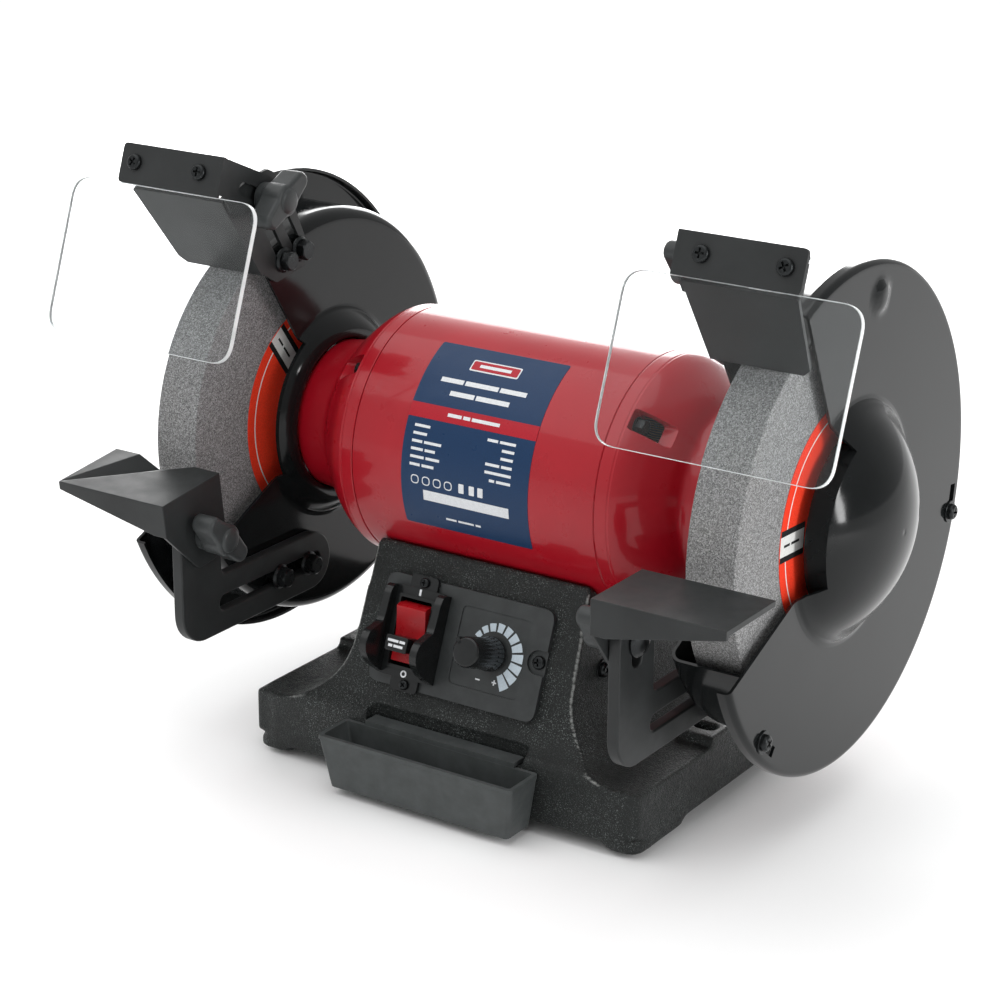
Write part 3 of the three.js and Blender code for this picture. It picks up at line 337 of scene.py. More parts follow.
class Surface:
    """Procedural material: a Principled shader with short calls for the nodes that feed it."""

    def __init__(self, name, **values):
        self.material = bpy.data.materials.new(name)
        self.material.use_nodes = True
        self.tree = self.material.node_tree
        self.shader = self.tree.nodes["Principled BSDF"]
        for key, value in values.items():
            self.shader.inputs[key.replace("_", " ")].default_value = value
        self.where = self.tree.nodes.new("ShaderNodeTexCoord").outputs["Object"]

    def node(self, kind, links=None, **settings):
        made = self.tree.nodes.new("ShaderNode" + kind)
        for key, value in settings.items():
            if hasattr(made, key):
                setattr(made, key, value)
            else:
                made.inputs[key.replace("_", " ")].default_value = value
        for key, value in (links or {}).items():
            self.tree.links.new(value, made.inputs[key])
        return made

    def noise(self, scale, detail=3.0, rough=0.55, stretch=None):
        where = self.where
        if stretch:
            where = self.node("Mapping", {"Vector": where}, Scale=stretch).outputs[0]
        return self.node("TexNoise", {"Vector": where}, Scale=scale, Detail=detail,
                         Roughness=rough).outputs["Fac"]

    def cells(self, scale, output="Distance", feature="F1"):
        return self.node("TexVoronoi", {"Vector": self.where}, feature=feature, Scale=scale).outputs[output]

    def ramp(self, factor, *stops):
        made = self.node("ValToRGB", {"Fac": factor})
        places = made.color_ramp.elements
        for i, (position, colour) in enumerate(stops):
            spot = places[i] if i < 2 else places.new(position)
            spot.position = position
            spot.color = (*colour, 1) if isinstance(colour, tuple) else (colour, colour, colour, 1)
        return made.outputs["Color"]

    def spread(self, factor, low, high, start=0.3, end=0.7):
        return self.node("MapRange", {"Value": factor}, From_Min=start, From_Max=end, To_Min=low,
                         To_Max=high).outputs[0]

    def maths(self, operation, a, b):
        made = self.node("Math", operation=operation)
        for socket, value in zip(made.inputs, (a, b)):
            if isinstance(value, (int, float)):
                socket.default_value = value
            else:
                self.tree.links.new(value, socket)
        return made.outputs[0]

    def mix(self, factor, a, b):
        made = self.node("Mix", data_type="RGBA")
        self.tree.links.new(factor, made.inputs["Factor"])
        for socket, value in ((made.inputs[6], a), (made.inputs[7], b)):
            if isinstance(value, tuple):
                socket.default_value = (*value, 1)
            else:
                self.tree.links.new(value, socket)
        return made.outputs[2]

    def attribute(self, name):
        return self.node("Attribute", attribute_name=name).outputs["Fac"]

    def feed(self, **sources):
        for key, value in sources.items():
            self.tree.links.new(value, self.shader.inputs[key.replace("_", " ")])
        return self

    def bump(self, height, strength, depth, under=None):
        """Bump of a depth in millimetres, over another bump if one is given."""
        links = {"Height": height, **({"Normal": under} if under else {})}
        return self.node("Bump", links, Strength=strength, Distance=depth * MM).outputs["Normal"]


def finish(name, colour, by, roughness, gloss, noises, bump, edge=0.3, **values):
    """A colour whose tone, gloss and surface vary: the noises feed those three in that order."""
    made = Surface(name, **values)
    dark, light = (tuple(min(1, c * (1 + side * by)) for c in colour) for side in (-1, 1))
    tone, patches, grain = (made.noise(*noise) for noise in noises)
    made.feed(Base_Color=made.ramp(tone, (edge, dark), (1 - edge, light)),
              Roughness=made.spread(patches, roughness * gloss[0], roughness * gloss[1]),
              Normal=made.bump(grain, *bump))
    return made.material


def painted(name, colour, roughness, grain, depth, variation, coat, coat_roughness, shine):
    """Sprayed paint: slight tone changes, orange peel and patches of different gloss."""
    return finish(name, colour, variation, roughness, (0.85, 1.2), ((35, 4), (90, 5), (grain, 2)),
                  (0.5, depth), Coat_Weight=coat, Coat_Roughness=coat_roughness, Specular_IOR_Level=shine)


def moulded(name, colour, roughness, grain=2600, depth=0.03, shine=0.3):
    """Moulded plastic or rubber: fine spark texture, faint sink marks in the gloss."""
    return finish(name, colour, 0.15, roughness, (0.85, 1.15), ((120, 3), (260, 4), (grain, 2)), (0.6, depth),
                  Specular_IOR_Level=shine)


def machined(name, colour, roughness, rings, metallic=1.0):
    """Turned or rolled metal: fine lines stretched along one axis, with streaks in the gloss."""
    streaks = (220, 6, 0.6, rings)
    return finish(name, colour, 0.18, roughness, (0.75, 1.3), ((60, 4), streaks, streaks), (0.4, 0.01),
                  Metallic=metallic)


def casting_paint():
    """Thick wrinkle paint on a rough casting, rubbed through to bright metal on its proudest edges, with
    painted glints: light grey specks mixed into its colour.
    """
    made = Surface("wrinkle_paint", Specular_IOR_Level=0.3)
    lumps, grain = made.cells(950, feature="SMOOTH_F1"), made.noise(1900, 4, 0.7)
    # Painted highlight: fine light grey specks, in patches, mixed into the dark paint's colour to stand in
    # for glints off its rough surface.
    glint_specks = made.ramp(made.noise(1900, 2, 0.5), (0.6, 0.0), (0.66, 1.0))
    patches = made.ramp(made.noise(45, 5), (0.36, 0.15), (0.6, 1.0))
    painted_glints = made.maths("MULTIPLY", glint_specks, patches)
    body = made.mix(made.maths("MULTIPLY", painted_glints, 0.7), (0.0085, 0.0105, 0.01), (0.24, 0.265, 0.26))
    worn = made.ramp(made.maths("MULTIPLY", made.attribute("wear"), made.noise(1700, 6, 0.8)),
                     (0.2, 0.0), (0.4, 0.85))
    height = made.maths("ADD", made.maths("MULTIPLY", lumps, 0.9), grain)
    made.feed(Base_Color=made.mix(worn, body, (0.3, 0.31, 0.3)),
              Roughness=made.spread(made.noise(300, 5), 0.3, 0.5),
              Normal=made.bump(height, 1.0, 0.4, made.bump(made.noise(130, 3), 0.25, 0.5)))
    return made.material


def abrasive():
    """Vitrified grain: grey crystals, bright facets and dark pores."""
    made = Surface("abrasive_grain", Specular_IOR_Level=0.2)
    crystal = made.cells(1900, "Color")
    grey = made.node("RGBToBW", {"Color": crystal}).outputs[0]
    body = made.ramp(grey, (0.12, 0.14), (0.5, 0.25), (0.86, 0.42))
    pores = made.ramp(made.noise(1900, 3, 0.6), (0.34, 1.0), (0.42, 0.0))
    tint = made.ramp(made.noise(24, 3), (0.3, (0.92, 0.93, 0.95)), (0.7, (1.0, 0.99, 0.97)))
    shade = made.node("Mix", {"Factor": made.noise(24, 1)}, data_type="RGBA", blend_type="MULTIPLY")
    made.tree.links.new(made.mix(pores, body, (0.04, 0.041, 0.044)), shade.inputs[6])
    made.tree.links.new(tint, shade.inputs[7])
    made.feed(Base_Color=shade.outputs[2], Roughness=made.spread(grey, 0.7, 0.98, 0.0, 1.0),
              Normal=made.bump(made.cells(1900), 0.7, 0.2))
    return made.material


def clear_sheet():
    """Clear polycarbonate with light handling marks."""
    made = Surface("clear_polycarbonate", Base_Color=(0.96, 0.985, 0.99, 1), IOR=1.3, Transmission_Weight=1.0,
                   Specular_IOR_Level=0.4)
    made.feed(Roughness=made.spread(made.noise(30, 6, 0.7), 0.0, 0.05, 0.4, 0.8),
              Normal=made.bump(made.noise(16, 2), 0.15, 0.15))
    return made.material


def clear_edge():
    """Sawn edge of the clear sheet: a painted highlight, milky light grey in its colour for the light that
    travels inside the sheet and leaves there.
    """
    made = Surface("polycarbonate_edge_highlight", Specular_IOR_Level=0.4)
    made.feed(Base_Color=made.ramp(made.noise(90, 3), (0.35, (0.74, 0.77, 0.77)), (0.65, (0.88, 0.9, 0.9))),
              Roughness=made.spread(made.noise(200, 4), 0.25, 0.4),
              Normal=made.bump(made.noise(900, 2), 0.3, 0.02))
    return made.material


def laminations():
    made = Surface("laminations", Metallic=0.8)
    stack = made.node("TexWave", {"Vector": made.where}, wave_type="BANDS", bands_direction="X", Scale=320,
                      Distortion=0.4)
    made.feed(Base_Color=made.ramp(stack.outputs["Fac"], (0.2, 0.03), (0.8, 0.14)),
              Roughness=made.spread(made.noise(300), 0.4, 0.6),
              Normal=made.bump(stack.outputs["Fac"], 0.5, 0.1))
    return made.material


def winding():
    made = Surface("copper_winding", Metallic=0.85, Coat_Weight=0.6, Coat_Roughness=0.15)
    wires = made.node("TexWave", {"Vector": made.where}, wave_type="RINGS", rings_direction="X", Scale=260,
                      Distortion=2.5, Detail=2.0)
    made.feed(Base_Color=made.ramp(wires.outputs["Fac"], (0.2, (0.2, 0.06, 0.015)),
                                   (0.8, (0.62, 0.25, 0.08))),
              Roughness=made.spread(made.noise(200), 0.25, 0.45),
              Normal=made.bump(wires.outputs["Fac"], 0.8, 0.3))
    return made.material


def printed(name, colour, roughness=0.4, variation=0.06):
    """Ink or film with a fine dot grain."""
    return finish(name, colour, variation, roughness, (0.85, 1.2), ((1400, 2), (180, 4), (900, 2)),
                  (0.25, 0.015), 0.35, Specular_IOR_Level=0.25)


MAT = {
    "cast_paint": casting_paint(),
    "red_paint": painted("red_enamel", (0.36, 0.0045, 0.013), 0.3, 700, 0.012, 0.05, 0.4, 0.07, 0.2),
    "black_guard": painted("guard_paint", (0.0065, 0.0075, 0.0078), 0.11, 900, 0.003, 0.2, 0.0, 0.2, 0.24),
    "black_steel": painted("satin_black", (0.023, 0.0248, 0.0252), 0.42, 1800, 0.03, 0.2, 0.0, 0.3, 0.25),
    "black_plastic": moulded("black_plastic", (0.037, 0.0405, 0.041), 0.4),
    "gloss_plastic": moulded("gloss_black", (0.011, 0.0122, 0.0125), 0.2),
    "tray_plastic": moulded("tray_plastic", (0.06, 0.066, 0.066), 0.45, 1500, 0.05, 0.25),
    "red_plastic": moulded("red_plastic", (0.34, 0.006, 0.01), 0.3, 1800, 0.01),
    "rubber": moulded("foot_rubber", (0.009, 0.009, 0.0095), 0.85, 1500, 0.08),
    "machined_steel": machined("turned_steel", (0.56, 0.56, 0.57), 0.28, (6, 1, 1)),
    "lamination_steel": laminations(),
    "dark_steel": machined("black_oxide", (0.022, 0.024, 0.025), 0.3, (3, 1, 1), 0.8),
    "copper": winding(),
    "abrasive": abrasive(),
    "clear_plastic": clear_sheet(),
    "shield_edge_highlight": clear_edge(),
    "circuit_board": moulded("circuit_board", (0.012, 0.12, 0.04), 0.35, 900, 0.04),
    "aluminium_can": machined("aluminium_can", (0.62, 0.62, 0.64), 0.34, (1, 6, 6)),
    "blotter": printed("blotter_orange", (0.92, 0.05, 0.018), 0.6, 0.1),
    "blotter_white": printed("blotter_white", (0.78, 0.78, 0.76), 0.6),
    "blotter_black": printed("blotter_black", (0.014, 0.014, 0.015), 0.6),
    "label_navy": printed("label_navy", (0.006, 0.032, 0.092), 0.32),
    "label_red": printed("label_red", (0.40, 0.008, 0.02), 0.32),
    "ink_white": printed("ink_white", (0.72, 0.74, 0.76), 0.4),
    "scale_grey": printed("scale_grey", (0.52, 0.60, 0.66), 0.4),
}

# ---- giving pieces to bodies


def dress(piece, name, body, look, nodes=()):
    """Names a piece, gives it its material and body, and hides the CAD nodes it stands for."""
    piece.name = piece.data.name = name
    piece.data.materials.clear()
    piece.data.materials.append(MAT[look])
    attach(piece, body)
    if nodes:
        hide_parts(*nodes)
    return piece


def mirrored(piece):
    piece.data.transform(Matrix.Diagonal((-1, 1, 1, 1)))
    piece.data.flip_normals()
    return piece


def mirror_image(piece):
    copy = piece.copy()
    copy.data = piece.data.copy()
    scene.collection.objects.link(copy)
    return mirrored(copy)


def dress_pair(piece, name, body, look, node=None, shift=(0, 0, 0)):
    """A right-hand piece and its mirror image: {} in the body's name is the side, the shift is the left's."""
    left = move(mirror_image(piece), Matrix.Translation(shift))
    for side, each in (("left", left), ("right", piece)):
        dress(each, f"{side}_{name}", body.format(side), look, [f"{side}_{node}"] if node else [])


# ---- base


def face_y(z):
    return FACE_TOP_Y - FACE_SLOPE * (PEDESTAL_TOP - z)


def pedestal():
    cove = (PEDESTAL_HALF + COVE_RADIUS, BASE_TOP + COVE_RADIUS)
    right = [(BASE_HALF, SKIRT_BOTTOM + 5), (BASE_HALF, BASE_TOP - 0.5)]
    right += arc(cove, COVE_RADIUS, 270, 180, 28) + [(PEDESTAL_HALF - 2.5, PEDESTAL_TOP)]
    outline = right + [(-x, z) for x, z in reversed(right)]
    front = prism(outline, "Y", BASE_FRONT - 1, BASE_REAR + 1)
    shoulder = smooth_line([(face_y(-106), -106), (face_y(-111) - 0.8, -111), (face_y(-115.5) - 3.4, -115.5),
                            (face_y(-119) - 7, -119), (BASE_FRONT + 1.2, BASE_TOP)], 8)
    rear = smooth_line([(BASE_REAR - 3, BASE_TOP - 0.5), (72, -118.5), (60, -108), (54, -92), (51, -70)], 8)
    side = prism([(face_y(PEDESTAL_TOP), PEDESTAL_TOP + 1)] + shoulder
                 + [(BASE_FRONT + 1.2, SKIRT_BOTTOM + 2), (BASE_REAR - 3, SKIRT_BOTTOM + 2)] + rear
                 + [(50, PEDESTAL_TOP + 1)], "X", -BASE_HALF - 1, BASE_HALF + 1)
    return overlap(front, side)


def base_casting():
    plan = rectangle(-BASE_HALF, BASE_FRONT, BASE_HALF, BASE_REAR, BASE_CORNER, 12)
    body = fuse(prism(plan, "Z", SKIRT_BOTTOM, BASE_TOP), pedestal())
    for side in (1, -1):
        plan = [(side * x, y) for x, y in ((93, -21), (113.3, -21), (113.3, 16), (93, 16))]
        body = fuse(body, prism(rounded(plan, 2), "Z", BASE_TOP - 4, -117.5))
        for y in FOOT_Y:
            low, high = (y - 30, y + 18.2) if y > 0 else (y - 18.4, y + 30)
            plan = [(side * x, level) for x, level in ((92, low), (113.2, low), (113.2, high), (92, high))]
            body = fuse(body, prism(rounded(plan, 8), "Z", PAD_BOTTOM, SKIRT_BOTTOM + 2))
        body = cut(body, prism(slot((side * 103 - 2.5, -9), (side * 103 + 2.5, -9), 3.7), "Z", BENCH_Z, -100))
    saddle = rod(-80, 80, MOTOR_RADIUS + 0.6, steps=128)
    pocket = prism([(-110, -114.3), (-82.6, -114.3), (-82.6, -133), (-87.6, -133), (-87.6, -123),
                    (-110, -123)], "X", TRAY_X - 46.5, TRAY_X + 46.5)
    window = on_face(prism(rectangle(-46, -22, 36, 22, 4), "Z", -14, 6))
    cord_hole = aim(rod(-20, 20, 7.3), (0, 1, 0), (CORD_X, BASE_REAR, CORD_Z))
    body = cut(body, saddle, pocket, window, cord_hole)
    voxels = body.modifiers.new("voxels", "REMESH")
    voxels.mode, voxels.voxel_size = "VOXEL", 1.15 * MM
    softened = body.modifiers.new("softened", "SMOOTH")
    softened.factor, softened.iterations = 0.5, 9
    settle(body)
    add_wear(body)
    body.data.shade_smooth()
    return body


def add_wear(piece):
    """Stores how proud each point's neighbourhood stands, strongest along the pedestal's front edges."""
    mesh = piece.data

    def read(items, key, width, kind=float):
        values = np.zeros(len(items) * width, kind)
        items.foreach_get(key, values)
        return values.reshape(-1, width)

    spots, normal = read(mesh.vertices, "co", 3), read(mesh.vertices, "normal", 3)
    a, b = read(mesh.edges, "vertices", 2, int).T
    step = spots[a] - spots[b]
    step /= np.linalg.norm(step, axis=1)[:, None] + 1e-12
    proud, links = np.zeros(len(spots)), np.zeros(len(spots))
    np.add.at(proud, a, (normal[a] * step).sum(1))
    np.add.at(proud, b, -(normal[b] * step).sum(1))
    np.add.at(links, a, 1)
    np.add.at(links, b, 1)
    proud = np.clip(proud / np.maximum(links, 1) * 6, 0, 1)
    x, y, z = ((spots - np.array(SPINDLE)) / MM).T
    on_edge = (np.abs(x) > 56) & (y < -44) & (z > -121.5) & (z < -44)
    weight = np.where(on_edge, 1.0, 0.3)
    layer = mesh.attributes.new("wear", "FLOAT", "POINT")
    layer.data.foreach_set("value", (proud * weight).astype(np.float32))


dress(base_casting(), "base_body", "frame", "cast_paint", nodes=["base_casting"])

for row, y in (("front", FOOT_Y[0]), ("rear", FOOT_Y[1])):
    for side, x in (("left", -FOOT_X), ("right", FOOT_X)):
        foot = turned([(0, 0), (0, 8.6), (0.6, 9.0), (1.9, 9.4), (2.3, 9.2), (2.3, 3), (18, 3), (18, 0)], 48)
        aim(foot, (0, 0, 1), (x, y, BENCH_Z))
        dress(smooth(foot), f"{row}_{side}_rubber_foot", "frame", "rubber", nodes=[f"{row}_{side}_foot"])

# ---- screws and bolts


def cross_screw(at, direction, radius=3.6, height=2.3, spin=20.0):
    """Pan-head screw with a cross recess; its underside is at the given point."""
    head = turned([(-1.5, 0), (-1.5, radius * 0.5), (0, radius * 0.5), (0, radius), (height * 0.35, radius)]
                  + arc((height * 0.35, radius * 0.55), radius * 0.45, 90, 20, 5)[1:]
                  + [(height, radius * 0.35), (height, 0)], 32)
    wings = [block((height - 1.5, -a, -b), (height + 1, a, b))
             for a, b in ((radius * 0.56, radius * 0.13), (radius * 0.13, radius * 0.56))]
    return aim(smooth(cut(head, *wings), 40), direction, at, spin)


def washer(at, direction, inner, outer, thickness=0.8):
    return aim(smooth(ring(0, thickness, inner, outer, 0.15, 40)), direction, at)


def hexagon(across_flats, x0, x1, chamfer=0.6):
    """Hexagon along X with its outer corners turned off at x1."""
    corner = across_flats / math.sqrt(3)
    flats = prism(arc((0, 0), corner, 0, 360, 6)[:-1], "X", x0, x1)
    turning = turned([(x0 - 1, 0), (x0 - 1, corner + 1), (x1 - chamfer * 1.4, corner + 0.1),
                      (x1, corner - chamfer * 1.6), (x1, 0)], 48)
    return overlap(flats, turning)


def flange_bolt(head, shank_end, y, z, spin):
    """Hexagon flange bolt along X: head towards the motor."""
    disc = turned([(0, 0), (0, 6.4), (0.5, 6.45), (1.5, 5.4), (1.5, 0)], 40)
    shank = rod(head - shank_end, 0.1, 2.9, steps=24)
    bolt = gather(edges(hexagon(9, 1.2, 6), 0.25, segments=2), disc, shank)
    return aim(smooth(bolt), (-1, 0, 0), (head, y, z), spin)


# ---- controls


def control_plate():
    plate = prism(rectangle(-50, -27.5, 48, 27.5, 6), "Z", 0.3, 3)
    x, y = PLATE_SCREW
    notch = fuse(prism(circle((x, y), 6, 40), "Z", 1.4, 9), block((x, y - 6, 1.4), (x + 8, y + 6, 9)))
    step = prism(rectangle(-3.5, -19, 36.5, 20, 3), "Z", 2.4, 9)
    plate = cut(plate, notch, step, prism(circle((x, y), 2.4), "Z", -5, 9),
                prism(rectangle(SWITCH_X - 11, -18.5, SWITCH_X + 11, 18.5, 2), "Z", -5, 9),
                prism(circle((DIAL_X, 0), 5.2), "Z", -5, 9))
    return on_face(edges(plate, 0.5))


def switch_housing():
    """Finger guard: a deck with two cheeks that rise beside the lock key."""
    cheek = [(22, 3.3), (22, 8.5)] + smooth_line([(21, 10), (17, 11.6), (9, 12.2), (3.5, 13.2), (0.5, 17),
                                                  (-2, 21.4), (-5.5, 23.5), (-10, 23.8), (-14.5, 21),
                                                  (-18.5, 15), (-21, 8.5)], 5)
    cheek += [(-22.5, 3.3)]
    deck = prism(rectangle(SWITCH_X - 17, -22.5, SWITCH_X + 17, 22.5, 5), "Z", 3.3, 6)
    tabs = prism(rectangle(SWITCH_X - 7, -29, SWITCH_X + 9, 29, 2.5), "Z", 3.3, 5)
    cheeks = [prism(cheek, "X", x, x + 4) for x in (SWITCH_X - 17, SWITCH_X + 13)]
    frame_lip = prism(rectangle(SWITCH_X - 10.8, -18.4, SWITCH_X + 10.8, 18.4, 1.5), "Z", 5.5, 7.4)
    body = fuse(deck, tabs, *cheeks, frame_lip)
    well = prism(rectangle(SWITCH_X - 9.2, -16.8, SWITCH_X + 9.2, 16.8, 1), "Z", 0, 30)
    screws = [prism(circle((SWITCH_SCREW_X, y), 1.6, 16), "Z", 2, 8)
              for y in (-SWITCH_SCREW_Y, SWITCH_SCREW_Y)]
    return on_face(edges(cut(body, well, *screws), 0.7))


def power_rocker():
    outline = smooth_line([(-14.9, 6.2), (-7, 6.4), (0, 7.2), (7, 9.0), (12.2, 10.9)], 5)
    outline += [(13.9, 8.8), (15, 4), (9, -5), (-9, -5), (-15.6, 2.5)]
    rocker = prism(outline, "X", SWITCH_X - 8.6, SWITCH_X + 8.6)
    cut(rocker, block((SWITCH_X - 5, -8.8, 1.4), (SWITCH_X + 3, -2.9, 12)))
    return on_face(edges(rocker, 0.6))


def lock_key():
    grip = prism(rectangle(SWITCH_X - 7.5, -9.8, SWITCH_X + 5.5, -2, 1.2), "Z", 7.2, 16)
    tongue = block((SWITCH_X - 4.6, -8.4, 1.8), (SWITCH_X + 2.6, -3.3, 8))
    return on_face(edges(fuse(grip, tongue), 0.5))


def speed_knob():
    """Fluted knob with a skirt, a pointer ridge and a blind hole."""
    body = turned([(4.2, 0), (4.2, 8.4), (4.8, 8.6), (7.2, 8.5), (8, 8.0), (26.6, 7.55), (27.6, 7.0),
                   (28, 6.2), (28, 0)], 96)
    flutes = [rod(9.2, 30, 0.55, 8.15 * math.cos(a), 8.15 * math.sin(a), 0.05, 10)
              for a in np.linspace(0, 2 * math.pi, 24, endpoint=False)]
    cut(body, gather(*flutes), rod(4, 14.4, 3.4))
    pointer = prism(rounded([(-0.9, 5), (0.9, 5), (0.9, 8.5), (-0.9, 8.5)], 0.3), "X", 9, 28)
    knob = edges(gather(body, pointer), 0.2, 40, 2)
    return move(knob, ON_FACE @ Matrix.Translation((DIAL_X, 0, 0)) @ spun(-45, "Z") @ spun(-90, "Y"))


def dial_scale():
    """Printed segments that grow thicker and longer towards full speed."""
    segments, first, last, count = [], 142.0, -56.0, 11
    pitch = (first - last) / (count - 1)
    for i in range(count):
        middle = first - i * pitch
        outer = 14.0 + 4.6 * i / (count - 1)
        half = pitch * (0.36 + 0.05 * i / (count - 1))
        outline = arc((DIAL_X, 0), outer, middle - half, middle + half, 4)
        outline += arc((DIAL_X, 0), 11.0, middle + half, middle - half, 4)
        segments.append(prism(outline, "Z", 2.35, 2.47))
    return on_face(gather(*segments))


def legend(outlines, top):
    return on_face(gather(*[prism(outline, "Z", top - 0.05, top + 0.1) for outline in outlines]))


dress(control_plate(), "control_plate_panel", "frame", "black_plastic", nodes=["control_plate"])
dress(switch_housing(), "switch_guard", "frame", "gloss_plastic", ["switch_housing"])
dress(power_rocker(), "rocker_button", "rocker", "red_plastic", nodes=["power_rocker"])
dress(lock_key(), "rocker_lock_key", "key", "gloss_plastic", ["lock_key"])
dress(speed_knob(), "dial_knob", "dial", "gloss_plastic", ["speed_knob"])
dress(dial_scale(), "dial_scale", "frame", "scale_grey")
on_mark = [rectangle(SWITCH_X - 0.2, 18.9, SWITCH_X + 1.0, 22.1, 0.2)]
dress(legend(on_mark, 6.0), "switch_on_mark", "frame", "ink_white")
off_disc, off_hole = (prism(circle((SWITCH_X + 0.4, -20.4), radius, 28), "Z", low, high)
                      for radius, low, high in ((1.8, 5.95, 6.1), (1.0, 5, 7)))
dress(on_face(cut(off_disc, off_hole)), "switch_off_mark", "frame", "ink_white")
slow_and_fast = [rectangle(11.2, -14.1, 13.8, -13.4), rectangle(20.7, -13.7, 23.3, -13.0),
                 rectangle(21.65, -14.65, 22.35, -13.75), rectangle(21.65, -12.95, 22.35, -12.05)]
dress(legend(slow_and_fast, 2.4), "speed_marks", "frame", "ink_white")
key_bars = [rectangle(SWITCH_X + x, y, SWITCH_X + x + width, y + 1.3)
            for x, y, width in ((-6.1, -5.3, 6.3), (0.8, -5.3, 3.3), (-5.3, -7.8, 2.4), (-2.2, -7.8, 5.4))]
dress(legend(key_bars, 16.0), "lock_key_marks", "key", "ink_white")
for i, (x, y, z, size) in enumerate(((*PLATE_SCREW, 1.4, 3.4), (SWITCH_SCREW_X, -SWITCH_SCREW_Y, 5, 2.6),
                                     (SWITCH_SCREW_X, SWITCH_SCREW_Y, 5, 2.6))):
    at = ON_FACE @ Vector((x, y, z))
    dress(cross_screw(at, FACE_NORMAL, size, size * 0.6, 15 + 40 * i), f"panel_screw_{i + 1}", "frame",
          "dark_steel")
side_screw = gather(cross_screw((PEDESTAL_HALF + 0.5, -44, -85), (1, 0, 0), 3.8, 2.4),
                    washer((PEDESTAL_HALF - 0.4, -44, -85), (1, 0, 0), 2, 5.2))
dress_pair(smooth(side_screw), "side_screw", "frame", "dark_steel")

# ---- quench tray


def quench_tray():
    back, half = BASE_FRONT - GAP, TRAY_WIDTH / 2
    top, bottom = TRAY_TOP, TRAY_TOP - TRAY_HEIGHT

    def shell(inset, low, high, side_draft, radius):
        levels = []
        for z, t in ((low, 1.0), (high, 0.0)):
            x0, x1 = TRAY_X - half + inset + side_draft * t, TRAY_X + half - inset - side_draft * t
            y0, y1 = back - TRAY_DEPTH + inset + 4 * t, back - inset
            levels.append([(x, y, z) for x, y in rectangle(x0, y0, x1, y1, radius, 6)])
        return loft(*levels)

    tray = shell(0, bottom, top, 4.5, 2.5)
    rim = prism(rectangle(TRAY_X - half, back - TRAY_DEPTH, TRAY_X + half, back, 2.5), "Z", top - 2.2, top)
    hook = prism([(back - 1.8, top - 3), (back, top - 3), (back, top + 0.4), (-86.6, top + 0.4),
                  (-86.6, -131), (-84.2, -131), (-84.2, top + 2.6), (back - 1.8, top + 2.6)],
                 "X", TRAY_X - 44, TRAY_X + 44)
    body = fuse(cut(fuse(tray, rim), shell(2, bottom + 2.2, top + 1, 4.6, 1.6)), hook)
    return edges(body, 0.6)


dress(quench_tray(), "water_tray", "tray", "tray_plastic", ["quench_tray"])

# ---- motor

dress(smooth(ring(-MOTOR_HALF, MOTOR_HALF, MOTOR_RADIUS - 2.5, MOTOR_RADIUS, 0.5, 192)), "motor_tube",
      "frame", "red_paint", nodes=["motor_shell"])

BELL_BOLT_ANGLES = (45, 135, 225, 315)


def end_bell():
    """Die-cast bell: seam lip, thin crease, rounded shoulder and the long neck that holds the guard."""
    lip = ((0.15, 0.35), (0.22, 0.2), (0.4, 0.04), (0.7, 0), (6.2, 0), (6.5, 0.08), (6.8, 0.25), (7.1, 0.33),
           (7.4, 0.3))
    outside = [(MOTOR_HALF + x, MOTOR_RADIUS - depth) for x, depth in lip]
    outside += smooth_line([(77.8, 63.98), (81, 62.6), (85, 60.1), (90, 56.1), (95, 51.6), (98.6, 47.7),
                            (101, 44.6), (103, 42.4), (105.5, 41.2), (109, 40.6), (116, 39.6),
                            (123.2, 38.6)], 5)
    inside = [(124, 37.9), (124, 13), (115, 13), (115, 20.4), (102, 20.4), (95, 43), (84, 56),
              (MOTOR_HALF + 0.15, 60), outside[0]]
    body = turned(outside + inside, 160)
    bolts = []
    for angle in BELL_BOLT_ANGLES:
        y, z = polar(56, angle)
        pocket = prism(rounded([(78.3, -6), (102, -6), (102, 16), (78.3, 16)], 2), "Y", -5.6, 5.6)
        body = fuse(body, rod(MOTOR_HALF + 0.3, 78.6, 7, *polar(54.3, angle)))
        body = cut(body, move(settle(edges(pocket, 2.2, segments=5)), turn_at((0, y, z), 90 - angle)))
        bolt = gather(edges(hexagon(7, 79.0, 84), 0.2, segments=2), ring(78.4, 79.2, 2.2, 4.6))
        bolts.append(move(bolt, turn_at((0, y, z), angle)))
    return edges(body, 0.8, 38), smooth(gather(*bolts))


bell, bell_bolts = end_bell()
dress_pair(bell, "motor_bell", "frame", "red_paint", node="end_bell")
dress_pair(bell_bolts, "bell_bolts", "frame", "dark_steel")


def patch(x0, x1, low, high, radius, thickness=0.2, corner=0.0):
    """Thin film on the motor shell between two angles that rise from the user's side."""
    flat = rectangle(x0, low, x1, high, corner, 5)
    rows = max(2, int(abs(high - low) / 1.5))
    grid = bmesh.new()
    face = grid.faces.new([grid.verts.new((x, a, 0)) for x, a in flat])
    bmesh.ops.recalc_face_normals(grid, faces=[face])
    for level in np.linspace(low, high, rows + 1)[1:-1]:
        geometry = grid.verts[:] + grid.edges[:] + grid.faces[:]
        bmesh.ops.bisect_plane(grid, geom=geometry, plane_co=(0, level, 0), plane_no=(0, 1, 0))
    made = bmesh.ops.extrude_face_region(grid, geom=grid.faces[:])
    for vertex in (v for v in made["geom"] if isinstance(v, bmesh.types.BMVert)):
        vertex.co.z = thickness
    for vertex in grid.verts:
        x, angle, rise = vertex.co
        vertex.co = place((x, *polar(radius + rise, angle)))
    bmesh.ops.recalc_face_normals(grid, faces=grid.faces)
    return from_bmesh(grid)


LABEL = (-40, 33.6, -23, 65)


